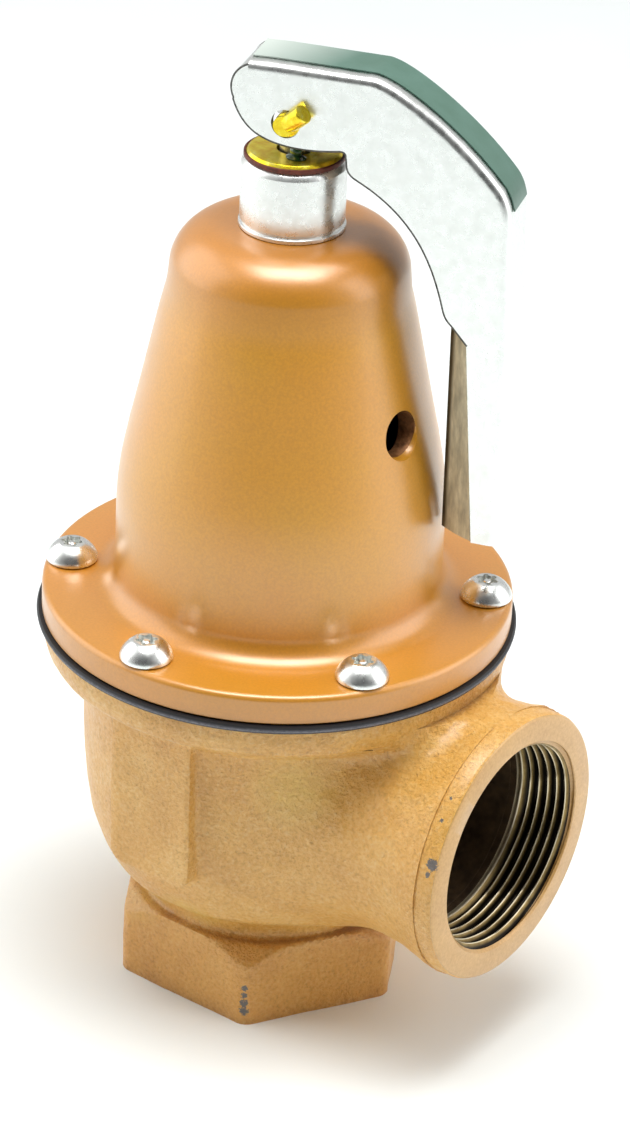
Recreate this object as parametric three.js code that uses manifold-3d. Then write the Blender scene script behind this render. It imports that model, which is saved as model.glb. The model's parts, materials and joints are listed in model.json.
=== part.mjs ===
// Diaphragm pressure relief valve: angle body with threaded inlet below and threaded outlet at the side,
// spring bonnet above, and a lifting lever pinned to the stem.
// Millimetres. +Z up the valve axis, +X out of the outlet. The origin is the centre of the bounding box's
// bottom, in the plane of the inlet's face. Every shape below is drawn about the valve axis, and the
// assembly is then moved to the origin as a whole.
import * as THREE from 'three';
import Module from 'manifold-3d';
import { mergeVertices } from 'three/addons/utils/BufferGeometryUtils.js';

const wasm = await Module();
wasm.setup();

// ---------------------------------------------------------------- driving dimensions
const RUN = 0.1; // gap between pieces that touch or slide
const FINE = 36; // facets round a large turned piece
const COARSE = 20; // facets round a small one

const INLET = { flats: 59.2, corner: 33.6, top: 18.8, bore: 19.3, depth: 20, taper: 1 / 32, mouth: 21.2 };
const OUTLET = { z: 51.3, face: 63.9, rim: 29.8, bore: 22.5, mouth: 23.9, band: 4.2, end: 30 };
const BOWL = { radius: 41.5, wall: 4, floor: 30 };
const NOZZLE = { outer: 20.5, bore: 14.5, top: 50 };
const PAD = { halfWidth: 10.5, face: 42.6, bottom: 38.5, top: 77 };

const FLANGE = { radius: 50.3, bodyBottom: 79, bodyTop: 84.9, top: 93 };
const DIAPHRAGM = { radius: 51.4, thickness: 1.5, clampInner: 37 };
const BOLTS = { count: 6, circle: 44.6, startDeg: 30, shank: 2.95, clearance: 3.3, tapped: 3.15, tip: 77.2 };
const HEAD = { radius: 5.55, rim: 0.9, height: 4.1, crown: 2.7 };
const RECESS = { depth: 2, lobe: 1.98, ripple: 0.36, pin: 0.85 };

const BONNET = { base: 34.8, coneBottom: 116, coneTop: 163, shoulder: 10, top: 175.3, wall: 4.2 };
const WEEP = { z: 137.6, azimuthDeg: -1.4, radius: 4.95 };
const CAP = { radius: 10.8, inner: 9.7, top: 190.2 };
const SPRING = { mean: 15.6, wire: 2.4, bottom: 104.2, top: 152, turns: 6.5 };
const ADJUSTER = { radius: 6.8, hole: 6.9, bore: 3.5, head: 13.5, nut: 16.4, top: 187 };
const STEM = { radius: 3.1, top: 204.2, headRadius: 5.6, headBottom: 96.6 };

const LEVER = {
  azimuthDeg: 19.5, width: 14.6, sheet: 1.6, bend: 2.4, pinZ: 199.8, hole: 2.6, bottom: 113.8,
};
const LABEL = { width: 8, thickness: 0.3 };
const COTTER = { radius: 2.2, tail: 7.5 };

// ---------------------------------------------------------------- solids and meshes
function toSolid(geometry) {
  geometry.deleteAttribute('normal');
  geometry.deleteAttribute('uv');
  const merged = mergeVertices(geometry, 1e-4);
  const index = merged.index.array;
  const kept = [];
  for (let i = 0; i < index.length; i += 3) {
    const [a, b, c] = [index[i], index[i + 1], index[i + 2]];
    if (a !== b && b !== c && c !== a) kept.push(a, b, c);
  }
  const vertProperties = new Float32Array(merged.attributes.position.array);
  return new wasm.Manifold(new wasm.Mesh({ numProp: 3, vertProperties, triVerts: new Uint32Array(kept) }));
}

function toGeometry(solid) {
  const mesh = solid.getMesh();
  const geometry = new THREE.BufferGeometry();
  geometry.setAttribute('position', new THREE.BufferAttribute(new Float32Array(mesh.vertProperties), 3));
  geometry.setIndex(new THREE.BufferAttribute(new Uint32Array(mesh.triVerts), 1));
  geometry.computeVertexNormals();
  return geometry;
}

const vec = ([x, y]) => new THREE.Vector2(x, y);

// A solid turned about Z from an outline of [radius, height] pairs, run anticlockwise. A hollow one is a
// closed loop; a full one starts and ends on the axis.
function turned(outline, facets = COARSE) {
  const points = outline.map(vec);
  if (outline[0][0] > 0) points.push(points[0].clone());
  return toSolid(new THREE.LatheGeometry(points, facets).rotateX(Math.PI / 2));
}

function tube(inner, outer, bottom, top, facets = COARSE) {
  return turned([[inner, bottom], [outer, bottom], [outer, top], [inner, top]], facets);
}

function rod(radius, bottom, top, facets = COARSE) {
  return tube(0, radius, bottom, top, facets);
}

// Points of an arc about [x, y], first and last included.
function arc([x, y], radius, fromDeg, toDeg, steps) {
  return Array.from({ length: steps + 1 }, (_, i) => {
    const angle = THREE.MathUtils.degToRad(fromDeg + ((toDeg - fromDeg) * i) / steps);
    return [x + radius * Math.cos(angle), y + radius * Math.sin(angle)];
  });
}

// A prism of an outline in the XY plane, between two heights.
function prism(outline, bottom, top) {
  const shape = new THREE.Shape(outline.map(vec));
  const geometry = new THREE.ExtrudeGeometry(shape, { depth: top - bottom, bevelEnabled: false });
  return toSolid(geometry.translate(0, 0, bottom));
}

function hexagon(flats, startDeg = 0) {
  return arc([0, 0], flats / Math.sqrt(3), startDeg, startDeg + 300, 5);
}

function rectangle(x0, y0, x1, y1) {
  return [[x0, y0], [x1, y0], [x1, y1], [x0, y1]];
}

// Lays a solid built up +Z along +X, with its own zero at the given height.
function alongX(solid, z) {
  return solid.rotate([0, 90, 0]).translate([0, 0, z]);
}

function round(count, make) {
  return Array.from({ length: count }, (_, i) => make(i));
}

// ---------------------------------------------------------------- body
function bodyCasting() {
  const { corner, top } = INLET;
  const hexEnvelope = turned([
    [0, 0], [corner - 1.2, 0], [corner, 1.2], [corner, top - 3.8], [corner - 4, top], [0, top],
  ], FINE);
  const hex = prism(hexagon(INLET.flats), 0, top + 1).intersect(hexEnvelope);
  const shell = turned([
    [0, 10], [27.6, 10], [27.9, 19], ...arc([33.5, 19.8], 5.6, 172, 118, 3),
    [34.6, 27.2], [37.2, 32.3], [39.4, 38.5], [40.6, 46], [BOWL.radius - 0.7, 54],
    [BOWL.radius, 62], [BOWL.radius, 73.5], [44.5, 75.6], [49.4, 78.2],
    [FLANGE.radius - 0.3, FLANGE.bodyBottom], [FLANGE.radius, 80], [FLANGE.radius, FLANGE.bodyTop],
    [0, FLANGE.bodyTop],
  ], FINE);
  const neck = alongX(turned([
    [0, 15], [27.6, 15], [27.8, 44], [28.6, 52], [29.9, 58], [30, OUTLET.face - OUTLET.band],
    [OUTLET.rim, OUTLET.face - OUTLET.band], [OUTLET.rim, OUTLET.face - 0.6],
    [OUTLET.rim - 0.6, OUTLET.face], [0, OUTLET.face],
  ], FINE), OUTLET.z);
  const pad = prism(rectangle(-PAD.halfWidth, -PAD.face, PAD.halfWidth, PAD.face), PAD.bottom, PAD.top);

  const inlet = INLET.bore - INLET.depth * INLET.taper;
  const passage = turned([
    [0, -1], [INLET.mouth + 1, -1], [INLET.mouth, 0], [INLET.bore, 1.8], [inlet, INLET.depth],
    [NOZZLE.bore, INLET.depth + 4], [NOZZLE.bore, FLANGE.bodyTop + 2], [0, FLANGE.bodyTop + 2],
  ]);
  const inner = BOWL.radius - BOWL.wall;
  const chamber = turned([
    [NOZZLE.outer, BOWL.floor + 3], [NOZZLE.outer + 3, BOWL.floor], [30, BOWL.floor], [33.6, 33.5],
    [36.4, 42], [inner, 54], [inner, FLANGE.bodyTop + 1], [0.5, FLANGE.bodyTop + 1], [0.5, NOZZLE.top],
    [NOZZLE.outer, NOZZLE.top],
  ], FINE);
  const outletRoot = OUTLET.bore - (OUTLET.face - OUTLET.end) * INLET.taper;
  const outlet = alongX(turned([
    [0, OUTLET.end], [outletRoot, OUTLET.end], [OUTLET.bore, OUTLET.face - 2], [OUTLET.mouth, OUTLET.face],
    [OUTLET.mouth + 1, OUTLET.face + 1], [0, OUTLET.face + 1],
  ], FINE), OUTLET.z);
  let body = hex.add(shell).add(neck).add(pad).subtract(passage).subtract(chamber).subtract(outlet);
  body = body.subtract(tube(NOZZLE.bore - 1, 17.6, NOZZLE.top - 3.2, NOZZLE.top + 2, FINE));
  for (const hole of boltShafts(BOLTS.tapped, BOLTS.tip - 1.2, FLANGE.top)) body = body.subtract(hole);
  return body;
}

function seatRing() {
  const bore = NOZZLE.bore;
  const bottom = NOZZLE.top - 3.1;
  const face = NOZZLE.top + 1.4;
  return turned([
    [bore, bottom], [17.5, bottom], [17.5, NOZZLE.top + RUN], [20, NOZZLE.top + RUN], [20, face],
    [17, face], [16.4, face + 1.8], [15.6, face + 1.8], [bore, face + 0.8],
  ]);
}

// ---------------------------------------------------------------- flange screws
function boltPlace(i) {
  const angle = THREE.MathUtils.degToRad(BOLTS.startDeg + (360 / BOLTS.count) * i);
  return [BOLTS.circle * Math.cos(angle), BOLTS.circle * Math.sin(angle), 0];
}

function boltShafts(radius, bottom, top) {
  return round(BOLTS.count, (i) => rod(radius, bottom, top, 12).translate(boltPlace(i)));
}

// Button head with a six-lobe recess round a centre pin. Each one stopped at its own angle.
function flangeScrew(i) {
  const { shank, tip } = BOLTS;
  const { radius, rim, height, crown } = HEAD;
  const { depth, lobe, ripple, pin } = RECESS;
  const seat = FLANGE.top + RUN;
  const top = seat + height;
  const blank = turned([
    [0, tip], [shank - 0.5, tip], [shank, tip + 0.5], [shank, seat], [radius, seat], [radius, seat + rim],
    [4.87, seat + 2.2], [3.88, seat + 3.3], [crown, top], [0, top],
  ], 16);
  const points = 18;
  const star = round(points, (k) => {
    const angle = (k / points) * Math.PI * 2;
    const reach = lobe + ripple * Math.cos(6 * angle);
    return [reach * Math.cos(angle), reach * Math.sin(angle)];
  });
  const socket = prism(star, top - depth, top + 1).subtract(rod(pin, top - depth - 1, top + 1, 8));
  return blank.subtract(socket).rotate([0, 0, 17 * i]).translate(boltPlace(i));
}

// ---------------------------------------------------------------- bonnet
const coneSlope = (34.6 - 25.3) / (BONNET.coneTop - BONNET.coneBottom);
const coneRadius = (z) => 34.6 - (z - BONNET.coneBottom) * coneSlope;

function bonnet() {
  const bottom = FLANGE.bodyTop + DIAPHRAGM.thickness + RUN;
  const shoulderCentre = [14.9, BONNET.top - BONNET.shoulder];
  const outside = [
    [FLANGE.radius, bottom], [FLANGE.radius, FLANGE.top - 0.8], [FLANGE.radius - 0.8, FLANGE.top],
    ...arc([BONNET.base + 5, FLANGE.top + 5], 5, 270, 184, 4),
    [BONNET.base, 103], [34.8, 110], [34.6, BONNET.coneBottom], [34, 121],
    [coneRadius(140) + 0.1, 140], [coneRadius(158), 158],
    ...arc(shoulderCentre, BONNET.shoulder, 8, 90, 6),
  ];
  const wall = BONNET.wall;
  const roof = BONNET.top - 11;
  const inside = [
    [ADJUSTER.hole, BONNET.top], [ADJUSTER.hole, roof], [18.6, roof], [coneRadius(158) - wall, 158],
    [coneRadius(122) - wall, 122], [BONNET.base - wall, 112], [BONNET.base - wall, 97],
    [DIAPHRAGM.clampInner, 93.5], [DIAPHRAGM.clampInner, bottom],
  ];
  const shell = turned([...outside, ...inside], FINE);
  const weepHole = alongX(rod(WEEP.radius, 20, 45, 24), 0)
    .rotate([0, 0, WEEP.azimuthDeg]).translate([0, 0, WEEP.z]);
  let solid = shell.subtract(weepHole);
  for (const hole of boltShafts(BOLTS.clearance, bottom - 1, FLANGE.top + 1)) solid = solid.subtract(hole);
  return solid;
}

function diaphragm() {
  const under = FLANGE.bodyTop + RUN / 2;
  const t = DIAPHRAGM.thickness - RUN / 2;
  const bore = 6.6;
  const solid = turned([
    [bore, under], [27, under], [29, under - 3.2], [32, under - 4.6], [35, under - 3.2],
    [DIAPHRAGM.clampInner, under], [DIAPHRAGM.radius, under], [DIAPHRAGM.radius, under + t],
    [DIAPHRAGM.clampInner + 0.6, under + t], [36, under - 1.2], [32, under - 3], [28, under - 1.2],
    [26.4, under + t], [bore, under + t],
  ], FINE);
  const holes = boltShafts(BOLTS.clearance, under - 2, under + 4);
  return holes.reduce((rest, hole) => rest.subtract(hole), solid);
}

// ---------------------------------------------------------------- spring, buttons and adjusting screw
class SpringPath extends THREE.Curve {
  getPoint(t) {
    const angle = t * SPRING.turns * Math.PI * 2;
    const closed = 0.75 / SPRING.turns;
    const climb = THREE.MathUtils.clamp((t - closed) / (1 - 2 * closed), 0, 1);
    const z = SPRING.bottom + SPRING.wire * 0.4 + climb * (SPRING.top - SPRING.bottom - SPRING.wire * 0.8);
    return new THREE.Vector3(SPRING.mean * Math.cos(angle), SPRING.mean * Math.sin(angle), z);
  }
}

function spring() {
  const section = new THREE.Shape(arc([0, 0], SPRING.wire, 0, 300, 5).map(vec));
  const steps = Math.round(SPRING.turns * 16);
  const options = { steps, extrudePath: new SpringPath(), bevelEnabled: false };
  const coil = toSolid(new THREE.ExtrudeGeometry(section, options));
  return coil.intersect(rod(SPRING.mean * 2, SPRING.bottom, SPRING.top, FINE));
}

// A spring button: a plate under or over the coil, a pilot inside it and a hole for the stem.
function lowerSpringButton() {
  const top = SPRING.bottom - RUN;
  return turned([
    [9.4, 90], [14, 90], [18.6, 101], [18.6, top], [12.4, top], [11.6, top + 4], [3.5, top + 4],
    [3.5, 100.4], [9.4, 100.4],
  ]);
}

function upperSpringButton() {
  const bottom = SPRING.top + RUN;
  return turned([
    [3.5, bottom - 4], [11.6, bottom - 4], [12.4, bottom], [18.6, bottom], [18.6, bottom + 3.4],
    [9, bottom + 6.2], [7.4, bottom + 4.4], [3.5, bottom + 4.4],
  ]);
}

function adjustingScrew() {
  const { radius, bore, top } = ADJUSTER;
  const bottom = SPRING.top + RUN + 4.6;
  const neck = top - 5;
  const shank = turned([[bore, bottom], [5.4, bottom], [radius, bottom + 2], [radius, neck], [bore, neck]]);
  const head = prism(hexagon(ADJUSTER.head), neck - 1, top).subtract(rod(bore, neck - 2, top + 1));
  return shank.add(head);
}

function lockNut() {
  const bottom = BONNET.top + RUN;
  const envelope = rod(9.35, bottom, bottom + 4.6);
  const bore = rod(ADJUSTER.hole, bottom - 1, bottom + 6);
  return prism(hexagon(ADJUSTER.nut), bottom, bottom + 4.6).intersect(envelope).subtract(bore);
}

// ---------------------------------------------------------------- seal cap and washers
function sealCap() {
  const bottom = BONNET.top + RUN;
  const { radius, inner, top } = CAP;
  return turned([
    [inner, bottom], [radius + 0.25, bottom], [radius + 0.25, bottom + 0.9], [radius - 0.3, bottom + 1.1],
    [radius - 0.3, bottom + 1.5], [radius, bottom + 1.7], [radius, top - 1.1], [radius - 0.9, top],
    [3.8, top], [3.8, top - 1.1], [inner, top - 1.1],
  ], 32);
}

function sealRing() {
  return tube(9.55, 10.35, CAP.top + RUN, CAP.top + 1.35, 32);
}

function capWasher() {
  const bottom = CAP.top + RUN;
  const top = CAP.top + 1.75;
  return turned([[3.7, bottom], [9.4, bottom], [9.4, top - 0.45], [8.9, top], [3.7, top]], 32);
}

// ---------------------------------------------------------------- disc assembly
const SEAT_FACE = NOZZLE.top + 3.2; // top of the seat ring's lip
const PLATE_THICKNESS = 2.4;

function seatDisc() {
  return tube(5, 18.4, SEAT_FACE + RUN, SEAT_FACE + 4.1);
}

function discHolder() {
  const under = SEAT_FACE + 4.2;
  const plate = FLANGE.bodyTop - RUN / 2;
  return turned([
    [0, under + 6], [2.6, under + 6], [2.6, under], [18.6, under], [18.6, SEAT_FACE + 1.4],
    [21, SEAT_FACE + 1.4], [21, under + 3.4], [9, under + 6.4], [8, plate - 6], [24, plate - 3.4],
    [24, plate], [6.4, plate], [6.4, 95.6], [0, 95.6],
  ]);
}

function discRetainer() {
  const bore = 2.8;
  const collar = 4.6;
  const face = SEAT_FACE;
  return turned([
    [bore, face - 2.4], [10, face - 2.4], [11, face - 1.4], [11, face], [collar, face],
    [collar, face + 4], [bore, face + 4],
  ]);
}

function discScrew() {
  const shaft = rod(2.5, SEAT_FACE - 3, SEAT_FACE + 9.6);
  return shaft.add(prism(hexagon(8), SEAT_FACE - 6.4, SEAT_FACE - 2.5));
}

function pressurePlate() {
  const bottom = FLANGE.bodyTop + DIAPHRAGM.thickness + RUN;
  const top = bottom + PLATE_THICKNESS;
  return turned([[6.6, bottom], [25, bottom], [26, bottom + 1], [26, top], [6.6, top]]);
}

function diaphragmNut() {
  const bottom = FLANGE.bodyTop + DIAPHRAGM.thickness + RUN * 2 + PLATE_THICKNESS;
  return prism(hexagon(15.6), bottom, bottom + 6).subtract(rod(6.5, 80, 100));
}

// ---------------------------------------------------------------- stem
function stem() {
  const { radius, top, headRadius, headBottom } = STEM;
  const shaft = turned([
    [0, headBottom], [headRadius, headBottom], [headRadius, headBottom + 3.4], [radius, headBottom + 3.4],
    [radius, top - 0.8], [radius - 0.8, top], [0, top],
  ], 24);
  const crossHole = rod(COTTER.radius + 0.15, -6, 6, 24).rotate([90, 0, 0]).translate([0, 0, LEVER.pinZ]);
  return shaft.subtract(crossHole);
}

// ---------------------------------------------------------------- lever
// The lever lies in its own frame: X away from the stem, Y across the sheet-metal channel, Z up.
const GRIP = { outer: 48.2, fold: 41.6, edge: 36.2, top: 158.5 };

// The web's outer line, from the nose to the foot of the handle.
function webLine() {
  const z = LEVER.pinZ;
  const bow = new THREE.CubicBezierCurve(
    vec([17.2, z + 12.2]), vec([21.5, z + 12.2]), vec([35.5, z + 3.3]), vec([44.6, z - 7.2]),
  ).getPoints(9);
  const knee = new THREE.QuadraticBezierCurve(
    vec([44.6, z - 7.2]), vec([46.9, z - 9.9]), vec([47.1, z - 14.5]),
  ).getPoints(4);
  const bent = [...bow, ...knee.slice(1)].map((p) => [p.x, p.y]);
  return [[-8.2, z + 12], [-3, z + 12.2], ...bent, [GRIP.outer, 160], [GRIP.outer + 0.7, LEVER.bottom]];
}

// The cheeks' free edge, from the foot of the handle back up to the nose.
function cheekEdge() {
  const z = LEVER.pinZ;
  const throat = new THREE.CubicBezierCurve(
    vec([36.2, 161]), vec([33.2, 171.4]), vec([29.6, 183.4]), vec([15.2, 190]),
  ).getPoints(8);
  const cam = new THREE.QuadraticBezierCurve(
    vec([11.5, z - 4.2]), vec([0, z - 6.3]), vec([-6.2, z - 3]),
  ).getPoints(5);
  const nose = arc([-6.2, z + 6.4], 5.5, 200, 112, 4);
  return [
    [GRIP.fold + 1.8, LEVER.bottom], [GRIP.fold - 1.6, GRIP.top], [38, GRIP.top],
    ...throat.map((p) => [p.x, p.y]), [13, 191.4], [12.6, z - 4.6], ...cam.map((p) => [p.x, p.y]), ...nose,
  ];
}

// Moves an open line sideways by a distance, to its right when walked in order.
function offsetLine(line, distance) {
  return line.map(([x, y], i) => {
    const [x0, y0] = line[Math.max(i - 1, 0)];
    const [x1, y1] = line[Math.min(i + 1, line.length - 1)];
    const length = Math.hypot(x1 - x0, y1 - y0);
    return [x + (distance * (y1 - y0)) / length, y - (distance * (x1 - x0)) / length];
  });
}

// A solid skinned over parallel outlines, each {points: [[x, z]...], y}, with equal point counts and in
// order of y.
function skinned(sections) {
  const count = sections[0].points.length;
  const position = sections.flatMap(({ points, y }) => points.flatMap(([x, z]) => [x, y, z]));
  const index = [];
  for (let s = 0; s + 1 < sections.length; s += 1) {
    for (let i = 0; i < count; i += 1) {
      const [a, b] = [s * count + i, s * count + ((i + 1) % count)];
      index.push(a, a + count, b, b, a + count, b + count);
    }
  }
  const last = (sections.length - 1) * count;
  const caps = (points) => THREE.ShapeUtils.triangulateShape(points.map(vec), []);
  for (const [a, b, c] of caps(sections[0].points)) index.push(a, b, c);
  for (const [a, b, c] of caps(sections.at(-1).points)) index.push(last + a, last + c, last + b);
  const geometry = new THREE.BufferGeometry();
  geometry.setAttribute('position', new THREE.BufferAttribute(new Float32Array(position), 3));
  geometry.setIndex(index);
  return toSolid(geometry);
}

// The channel's solid between its cheeks, with the web's two corners rounded.
function channel(halfWidth, inset, bend, edge) {
  const steps = 3;
  const quarter = round(steps + 1, (i) => (Math.PI / 2) * (i / steps));
  const near = quarter.map((a) => ({
    y: halfWidth - bend * (1 - Math.sin(a)), drop: bend * (1 - Math.cos(a)),
  }));
  const far = near.toReversed().map(({ y, drop }) => ({ y: -y, drop }));
  const levels = [...far, ...near];
  return skinned(levels.map(({ y, drop }) => ({
    y, points: [...offsetLine(webLine(), inset + drop), ...edge].toReversed(),
  })));
}

// One inturned lip of the grip: a plate from the cheek's fold towards the middle of the channel.
function gripLip(side) {
  const half = LEVER.width / 2;
  const t = LEVER.sheet;
  const root = 0.1; // the lip starts this far inside both faces of the cheek
  const profile = (fold, reach) => [
    [fold + 1, half - root], [GRIP.edge, reach + t], [GRIP.edge, reach], [fold + 1, half - t + root],
  ];
  const top = profile(GRIP.fold - 1.6, 3);
  const foot = profile(GRIP.fold + 1.8, 0.6);
  const ring = (points, z) => points.flatMap(([x, y]) => [x, side * y, z]);
  const position = [...ring(foot, LEVER.bottom), ...ring(top, GRIP.top - 1)];
  const faces = [[0, 1, 2], [0, 2, 3], [4, 6, 5], [4, 7, 6]];
  for (let i = 0; i < 4; i += 1) {
    const j = (i + 1) % 4;
    faces.push([i, i + 4, j], [j, i + 4, j + 4]);
  }
  const wound = side < 0 ? faces : faces.map(([a, b, c]) => [a, c, b]);
  const geometry = new THREE.BufferGeometry();
  geometry.setAttribute('position', new THREE.BufferAttribute(new Float32Array(position), 3));
  geometry.setIndex(wound.flat());
  return toSolid(geometry);
}

function leverPlate() {
  const half = LEVER.width / 2;
  const hollowEdge = [
    [30, LEVER.bottom - 3], [30, 180], [12, 185], [-14, 185], [-14, LEVER.pinZ + 9],
  ];
  const inside = channel(half - LEVER.sheet, LEVER.sheet, LEVER.bend - LEVER.sheet, hollowEdge);
  const belowFoot = prism(rectangle(20, -half, 60, half), LEVER.bottom - 5, LEVER.bottom);
  const pinHole = rod(LEVER.hole, -20, 20, 24).rotate([90, 0, 0]).translate([0, 0, LEVER.pinZ]);
  const shell = channel(half, 0, LEVER.bend, cheekEdge());
  return shell.subtract(inside).add(gripLip(1)).add(gripLip(-1)).subtract(pinHole).subtract(belowFoot);
}

function leverLabel() {
  const end = LEVER.pinZ - 12.5; // the label stops where the web has turned downwards
  const line = webLine().filter(([, z]) => z > end);
  const under = offsetLine(line, -RUN);
  const over = offsetLine(line, -RUN - LABEL.thickness);
  const points = [...over, ...under.toReversed()].toReversed();
  return skinned([{ y: -LABEL.width / 2, points }, { y: LABEL.width / 2, points }]);
}

// Split pin through the cheeks and the stem: an eye on the far side, and one leg turned over the near
// cheek.
function cotterPin() {
  const out = LEVER.width / 2;
  const { radius, tail } = COTTER;
  const shaft = rod(radius, -out - 2, out + 1.2, 20).rotate([-90, 0, 0]).translate([0, 0, LEVER.pinZ]);
  const rise = THREE.MathUtils.degToRad(42);
  const bent = new THREE.CatmullRomCurve3([
    new THREE.Vector3(0, -out + 0.5, 0), new THREE.Vector3(0.5, -out - 2.2, 0.4),
    new THREE.Vector3(2.4, -out - 3, 2.2),
    new THREE.Vector3(tail * Math.cos(rise), -out - 2.9, tail * Math.sin(rise)),
  ]);
  const section = new THREE.Shape(arc([0, 0], radius - 0.1, 0, 324, 9).map(vec));
  const leg = new THREE.ExtrudeGeometry(section, { steps: 10, extrudePath: bent, bevelEnabled: false });
  const eye = new THREE.TorusGeometry(2.6, 1.2, 8, 18).rotateY(Math.PI / 2);
  const eyeSolid = toSolid(eye).translate([0, out + 4, LEVER.pinZ]);
  return shaft.add(toSolid(leg).translate([0, 0, LEVER.pinZ])).add(eyeSolid);
}

// ---------------------------------------------------------------- finishes
function finish(color, roughness, metalness) {
  return new THREE.MeshStandardMaterial({ color, roughness, metalness });
}

const FINISH = {
  castPaint: finish(0xd79a52, 0.55, 0.35),
  smoothPaint: finish(0xcf8f45, 0.3, 0.4),
  zinc: finish(0xc9ccd0, 0.3, 1),
  steel: finish(0x8f9398, 0.4, 1),
  brass: finish(0xb8924a, 0.35, 1),
  rubber: finish(0x222225, 0.8, 0),
  springSteel: finish(0x4c5258, 0.45, 0.9),
  yellowZinc: finish(0xe8d23a, 0.3, 0.8),
  redFibre: finish(0x7a2a16, 0.7, 0),
  label: finish(0x5fa083, 0.45, 0),
};

function mesh(name, solid, material) {
  const piece = new THREE.Mesh(toGeometry(solid), material);
  piece.name = name;
  return piece;
}

// ---------------------------------------------------------------- the assembly
const AXIS_X = (DIAPHRAGM.radius - OUTLET.face) / 2; // where the valve axis stands

const valve = new THREE.Group();
valve.position.x = AXIS_X;
valve.add(
  mesh('body_casting', bodyCasting(), FINISH.castPaint),
  mesh('seat_ring', seatRing(), FINISH.brass),
  mesh('bonnet', bonnet(), FINISH.smoothPaint),
  mesh('diaphragm', diaphragm(), FINISH.rubber),
  mesh('spring', spring(), FINISH.springSteel),
  mesh('upper_spring_button', upperSpringButton(), FINISH.steel),
  mesh('adjusting_screw', adjustingScrew(), FINISH.steel),
  mesh('lock_nut', lockNut(), FINISH.steel),
  mesh('seal_cap', sealCap(), FINISH.zinc),
  mesh('seal_ring', sealRing(), FINISH.redFibre),
  mesh('cap_washer', capWasher(), FINISH.yellowZinc),
);
for (let i = 0; i < BOLTS.count; i += 1) {
  valve.add(mesh(`flange_screw_${i + 1}`, flangeScrew(i), FINISH.zinc));
}

const discAssembly = new THREE.Group();
discAssembly.add(
  mesh('disc_holder', discHolder(), FINISH.brass),
  mesh('seat_disc', seatDisc(), FINISH.rubber),
  mesh('disc_retainer', discRetainer(), FINISH.brass),
  mesh('disc_screw', discScrew(), FINISH.steel),
  mesh('pressure_plate', pressurePlate(), FINISH.steel),
  mesh('diaphragm_nut', diaphragmNut(), FINISH.steel),
  mesh('lower_spring_button', lowerSpringButton(), FINISH.steel),
);

const swivel = new THREE.Group();
swivel.rotation.z = THREE.MathUtils.degToRad(LEVER.azimuthDeg);
const lever = new THREE.Group();
lever.add(
  mesh('lever', leverPlate(), FINISH.zinc),
  mesh('lever_label', leverLabel(), FINISH.label),
  mesh('cotter_pin', cotterPin(), FINISH.yellowZinc),
);
swivel.add(mesh('stem', stem(), FINISH.steel), lever);
discAssembly.add(swivel);
valve.add(discAssembly);

export default valve;
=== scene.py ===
"""The looks of a pressure relief valve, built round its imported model.

Metres, +Z up the valve axis, +X out of the side outlet. Shapes are drawn in millimetres about the valve axis.
"""

import json
import math

import bmesh
import bpy
import numpy as np
from mathutils import Matrix, Vector, noise


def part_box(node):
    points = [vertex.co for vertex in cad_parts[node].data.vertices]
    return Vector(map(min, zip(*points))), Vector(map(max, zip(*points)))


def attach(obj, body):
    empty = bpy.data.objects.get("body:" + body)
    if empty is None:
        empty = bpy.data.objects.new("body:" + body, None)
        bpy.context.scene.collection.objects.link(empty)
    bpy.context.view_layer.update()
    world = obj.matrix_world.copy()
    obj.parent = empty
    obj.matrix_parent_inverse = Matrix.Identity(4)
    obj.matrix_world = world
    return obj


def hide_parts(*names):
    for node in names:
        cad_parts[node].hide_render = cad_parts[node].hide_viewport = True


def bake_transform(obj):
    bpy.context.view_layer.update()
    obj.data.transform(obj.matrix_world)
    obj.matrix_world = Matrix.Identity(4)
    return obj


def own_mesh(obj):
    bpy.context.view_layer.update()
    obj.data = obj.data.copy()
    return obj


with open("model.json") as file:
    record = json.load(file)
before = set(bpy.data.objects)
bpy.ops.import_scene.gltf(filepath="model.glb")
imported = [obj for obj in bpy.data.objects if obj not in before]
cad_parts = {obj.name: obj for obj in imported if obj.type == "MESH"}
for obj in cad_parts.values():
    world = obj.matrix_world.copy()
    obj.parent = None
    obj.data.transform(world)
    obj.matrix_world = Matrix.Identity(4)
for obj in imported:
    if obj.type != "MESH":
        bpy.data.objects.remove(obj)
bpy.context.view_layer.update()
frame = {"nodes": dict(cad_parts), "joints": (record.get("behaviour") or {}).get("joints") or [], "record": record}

MM = 0.001
JOINTS = {joint["name"]: joint for joint in frame["joints"]}
MOUNTS = {mount["name"]: mount for mount in frame["record"]["mounts"]}
PIVOT = np.array(JOINTS["lever_pivot"]["pos_m"]) / MM
AXIS = np.array([PIVOT[0], PIVOT[1], 0.0])  # where the valve axis stands


def node_box(node):
    """A CAD node's lowest and highest corner about the valve axis, in millimetres."""
    low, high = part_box(node)
    return np.array(low) / MM - AXIS, np.array(high) / MM - AXIS


# ---------------------------------------------------------------- driving sizes
BODY_LOW, BODY_HIGH = node_box("body_casting")
BONNET_LOW, BONNET_HIGH = node_box("bonnet")
CAP_LOW, CAP_HIGH = node_box("seal_cap")
FOOT = node_box("lever")[0][2]
PIN_Z = PIVOT[2]
OUTLET_Z = MOUNTS["outlet_face"]["pos_m"][2] / MM - 26.5
FLANGE_R = BODY_HIGH[1]
FLANGE_TOP = 93.0
OUTLET_FACE = BODY_HIGH[0]


# ---------------------------------------------------------------- meshes
def mesh_object(name, points, faces, smooth_deg=35):
    """A piece from points in millimetres, shaded smooth except over edges sharper than smooth_deg."""
    mesh = bpy.data.meshes.new(name)
    mesh.from_pydata((np.asarray(points, float) * MM).tolist(), [], [list(f) for f in faces])
    mesh.validate()
    piece = bpy.data.objects.new(name, mesh)
    bpy.context.scene.collection.objects.link(piece)
    shade(piece, smooth_deg)
    return piece


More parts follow.
